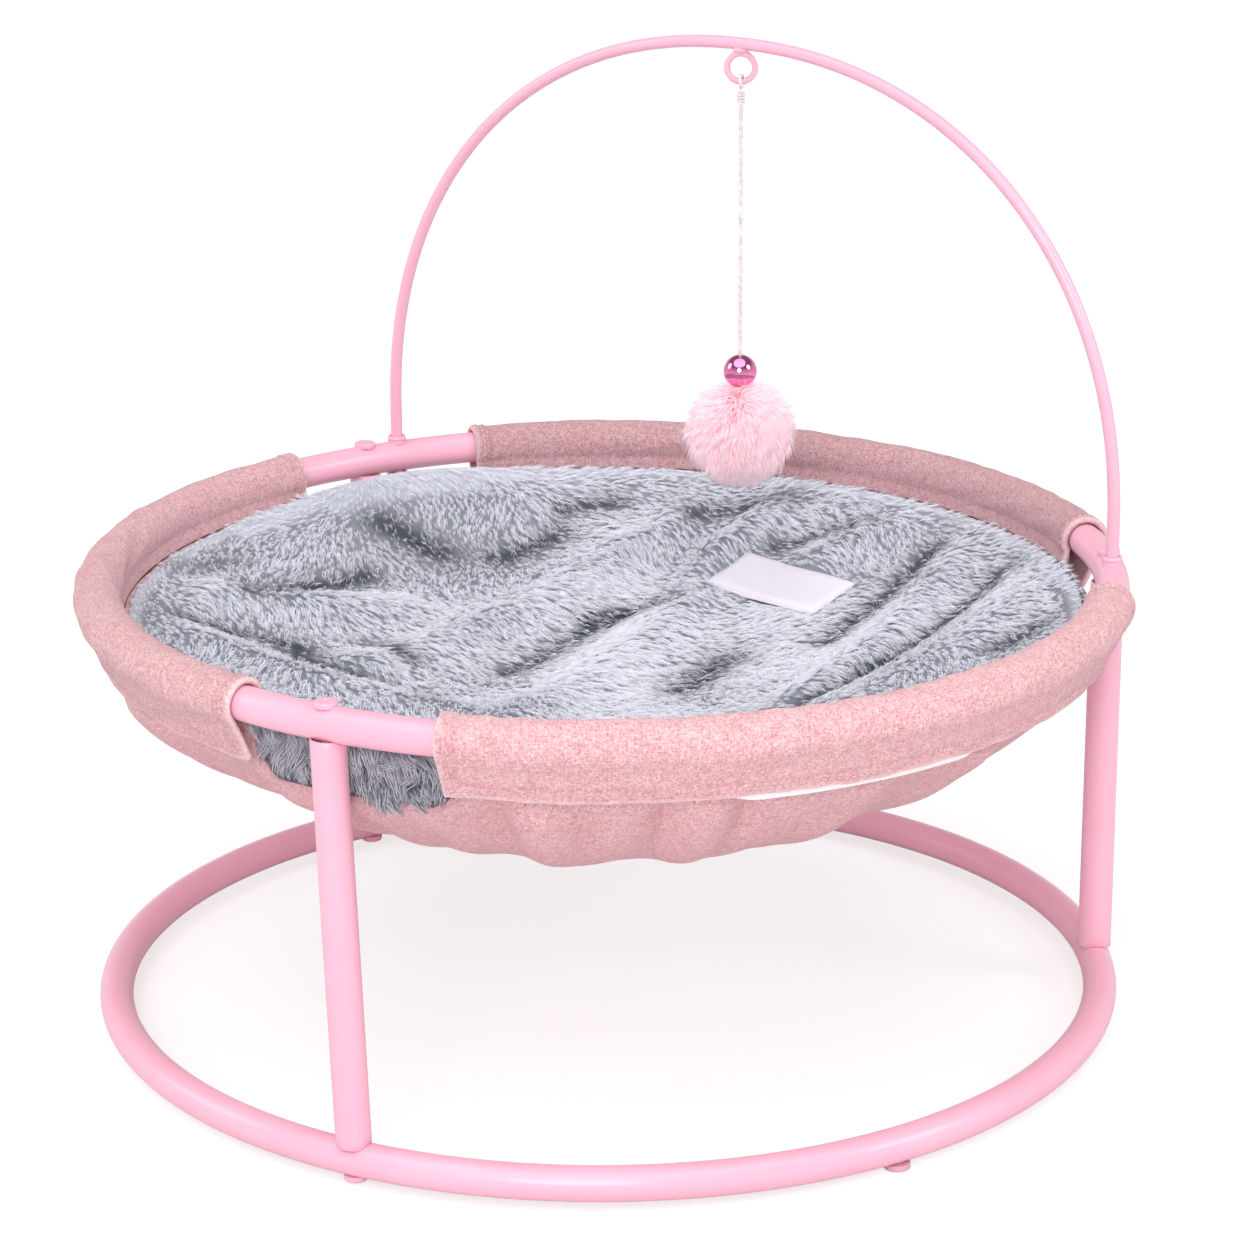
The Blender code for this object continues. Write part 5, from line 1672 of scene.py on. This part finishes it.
    def tape(self, side, start, end, satin):
        """The hook-and-loop tape inside the band; it peeps out below the front hem at the right."""
        angles = np.linspace(start + 5, end - 5, int((end - start - 10) / 0.8))
        low, high, thick = SLEEVE_HEM - 0.0015, SLEEVE_HEM + 0.0100, 0.0010
        rows = []
        for angle in angles:
            shown = 0.0
            if side == "right":
                shown = float(smooth_share(angle, 311, 319) * (1 - smooth_share(angle, 344, 350)))
            edge = low + 0.0025 * (1 - shown) - 0.0037 * shown
            bend = max(edge + 0.0012, SLEEVE_HEM + 0.0003)
            loop = []
            for height, inset in ((edge, 0.0), (edge + 0.0004, -0.0001), (bend, 0.0), (high, 0.0),
                                  (high, thick), (bend, thick), (edge, thick)):
                left = 1 - smooth_share(height, SLEEVE_HEM + 0.001, SLEEVE_HEM + 0.005)
                flare = 0.0012 * shown * float(left)
                reach = band_radius(SLEEVE_INNER, max(height, SLEEVE_HEM)) - 0.0003 - inset + flare
                loop.append(tuple(around(reach, angle, height)))
            rows.append(loop)
        rows = np.array(rows)
        u = np.radians(angles - start) * RING_R
        v = np.array([0, 0.0004, 0.0040, 0.0125, 0.0135, 0.0220, 0.0255, 0.0265])
        strip = grid_piece("hook_tape_" + side + "_strip", rows, satin, poles=(rows[0].mean(0), rows[-1].mean(0)),
                           uv=np.stack(np.meshgrid(u, v, indexing="ij"), -1))
        place_piece(strip, "bed", "white_thread", "hook_tape_" + side)


@piece_operator
class CATBED_OT_label(bpy.types.Operator):
    """The blank label sewn on the plush"""

    bl_idname = "catbed.label"
    bl_label = "Blank Label"

    lift = 0.0036
    thick = 0.0006

    def execute(self, context):
        satin = satin_material("satin label finish", (0.74, 0.71, 0.80), (0.83, 0.80, 0.89), 0.0006)
        across, down = 56, 28
        wide = across + 1
        plane = self.laid_plane()
        rows = np.array([[self.place(i / across - 0.5, j / down - 0.5, plane) for i in range(wide)]
                         for j in range(down + 1)])
        top = rows.reshape(-1, 3)
        start = len(top)
        faces = []
        for j in range(down):
            for i in range(across):
                a = j * wide + i
                quad = (a, a + 1, a + wide + 1, a + wide)
                faces += [quad, tuple(start + k for k in reversed(quad))]
        ring = self.border(across, down, 0)
        index = [j * wide + i for j, i in ring]
        faces += [(a, b, start + b, start + a) for a, b in zip(index, index[1:] + index[:1])]
        uvs = [(LABEL_SIZE[0] * (k % start % wide) / across, LABEL_SIZE[1] * (k % start // wide) / down)
               for face in faces for k in face]
        points = np.concatenate([top, top - (0, 0, self.thick)]).tolist()
        label = mesh_piece("blank_label_cloth", points, faces, satin, uvs)
        place_piece(label, "bed", "white_thread", "blank_label")
        seam = [tuple(rows[j, i] + (0, 0, 0.0002)) for j, i in self.border(across, down, 1)]
        seam.append(seam[0])
        thread = stitch_lines("blank_label_stitches", [seam], satin, 0.0021, 0.0014, 0.0004)
        place_piece(thread, "bed", "white_thread")
        return {"FINISHED"}

    def border(self, across, down, inset):
        """Rows and columns round the label, a number of cells in from its edge."""
        left, right, low, high = inset, across - inset, inset, down - inset
        return ([(low, i) for i in range(left, right)] + [(j, right) for j in range(low, high)]
                + [(high, i) for i in range(right, left, -1)] + [(j, left) for j in range(high, low, -1)])

    def place(self, s, t, plane):
        """A point of the label's face, at shares of its width and height from its middle."""
        offset = Matrix.Rotation(LABEL_TURN, 2) @ Vector((LABEL_SIZE[0] * s, LABEL_SIZE[1] * t))
        x, y = LABEL_PLACE[0] + offset.x, LABEL_PLACE[1] + offset.y
        level = float(plane @ (x, y, 1.0))
        level = level + 0.12 * (float(plush_top(x, y)) - level)
        wave = 0.0003 * math.sin(9 * s + 2) * math.sin(7 * t + 1)
        edge = min(0.5 - abs(s), (0.5 - abs(t)) * LABEL_SIZE[1] / LABEL_SIZE[0])
        tucked = 0.0016 * (1 - float(smooth_share(edge, 0.0, 0.06)))
        return x, y, level + self.lift + wave - tucked

    def laid_plane(self):
        """The plane that lies best on the folds under the label."""
        turn = Matrix.Rotation(LABEL_TURN, 2)
        places = [turn @ Vector((LABEL_SIZE[0] * i / 8, LABEL_SIZE[1] * j / 8)) for i in range(-4, 5)
                  for j in range(-4, 5)]
        xs = np.array([LABEL_PLACE[0] + p.x for p in places])
        ys = np.array([LABEL_PLACE[1] + p.y for p in places])
        return np.linalg.lstsq(np.stack([xs, ys, np.ones(len(xs))], -1), plush_top(xs, ys), rcond=None)[0]


OPERATORS = (
    CATBED_OT_stage, CATBED_OT_toy, CATBED_OT_tubes, CATBED_OT_fasteners, CATBED_OT_arch, CATBED_OT_bowl,
    CATBED_OT_plush, CATBED_OT_sleeves, CATBED_OT_label)


class CATBED_PT_pieces(bpy.types.Panel):
    """Lists the bed's pieces and the sizes and colours of their finish"""

    bl_idname = "CATBED_PT_pieces"
    bl_label = "Cat Bed"
    bl_space_type = "VIEW_3D"
    bl_region_type = "UI"
    bl_category = "Cat Bed"

    def draw(self, context):
        layout = self.layout
        for group in (context.scene.cat_bed_sizes, context.scene.cat_bed_colours):
            box = layout.box()
            for key in group.bl_rna.properties.keys():
                if key not in ("rna_type", "name"):
                    box.prop(group, key)
        for operator in OPERATORS:
            layout.operator(operator.bl_idname)


CLASSES = (CatBedSizes, CatBedColours, *OPERATORS, CATBED_PT_pieces)


def register():
    for cls in CLASSES:
        bpy.utils.register_class(cls)
    bpy.types.Scene.cat_bed_sizes = bpy.props.PointerProperty(type=CatBedSizes)
    bpy.types.Scene.cat_bed_colours = bpy.props.PointerProperty(type=CatBedColours)


def unregister():
    del bpy.types.Scene.cat_bed_colours
    del bpy.types.Scene.cat_bed_sizes
    for cls in reversed(CLASSES):
        bpy.utils.unregister_class(cls)


def main():
    register()
    for step in ("stage", "toy", "tubes", "fasteners", "arch", "bowl", "plush", "sleeves", "label"):
        getattr(bpy.ops.catbed, step)()


if __name__ == "__main__":
    main()
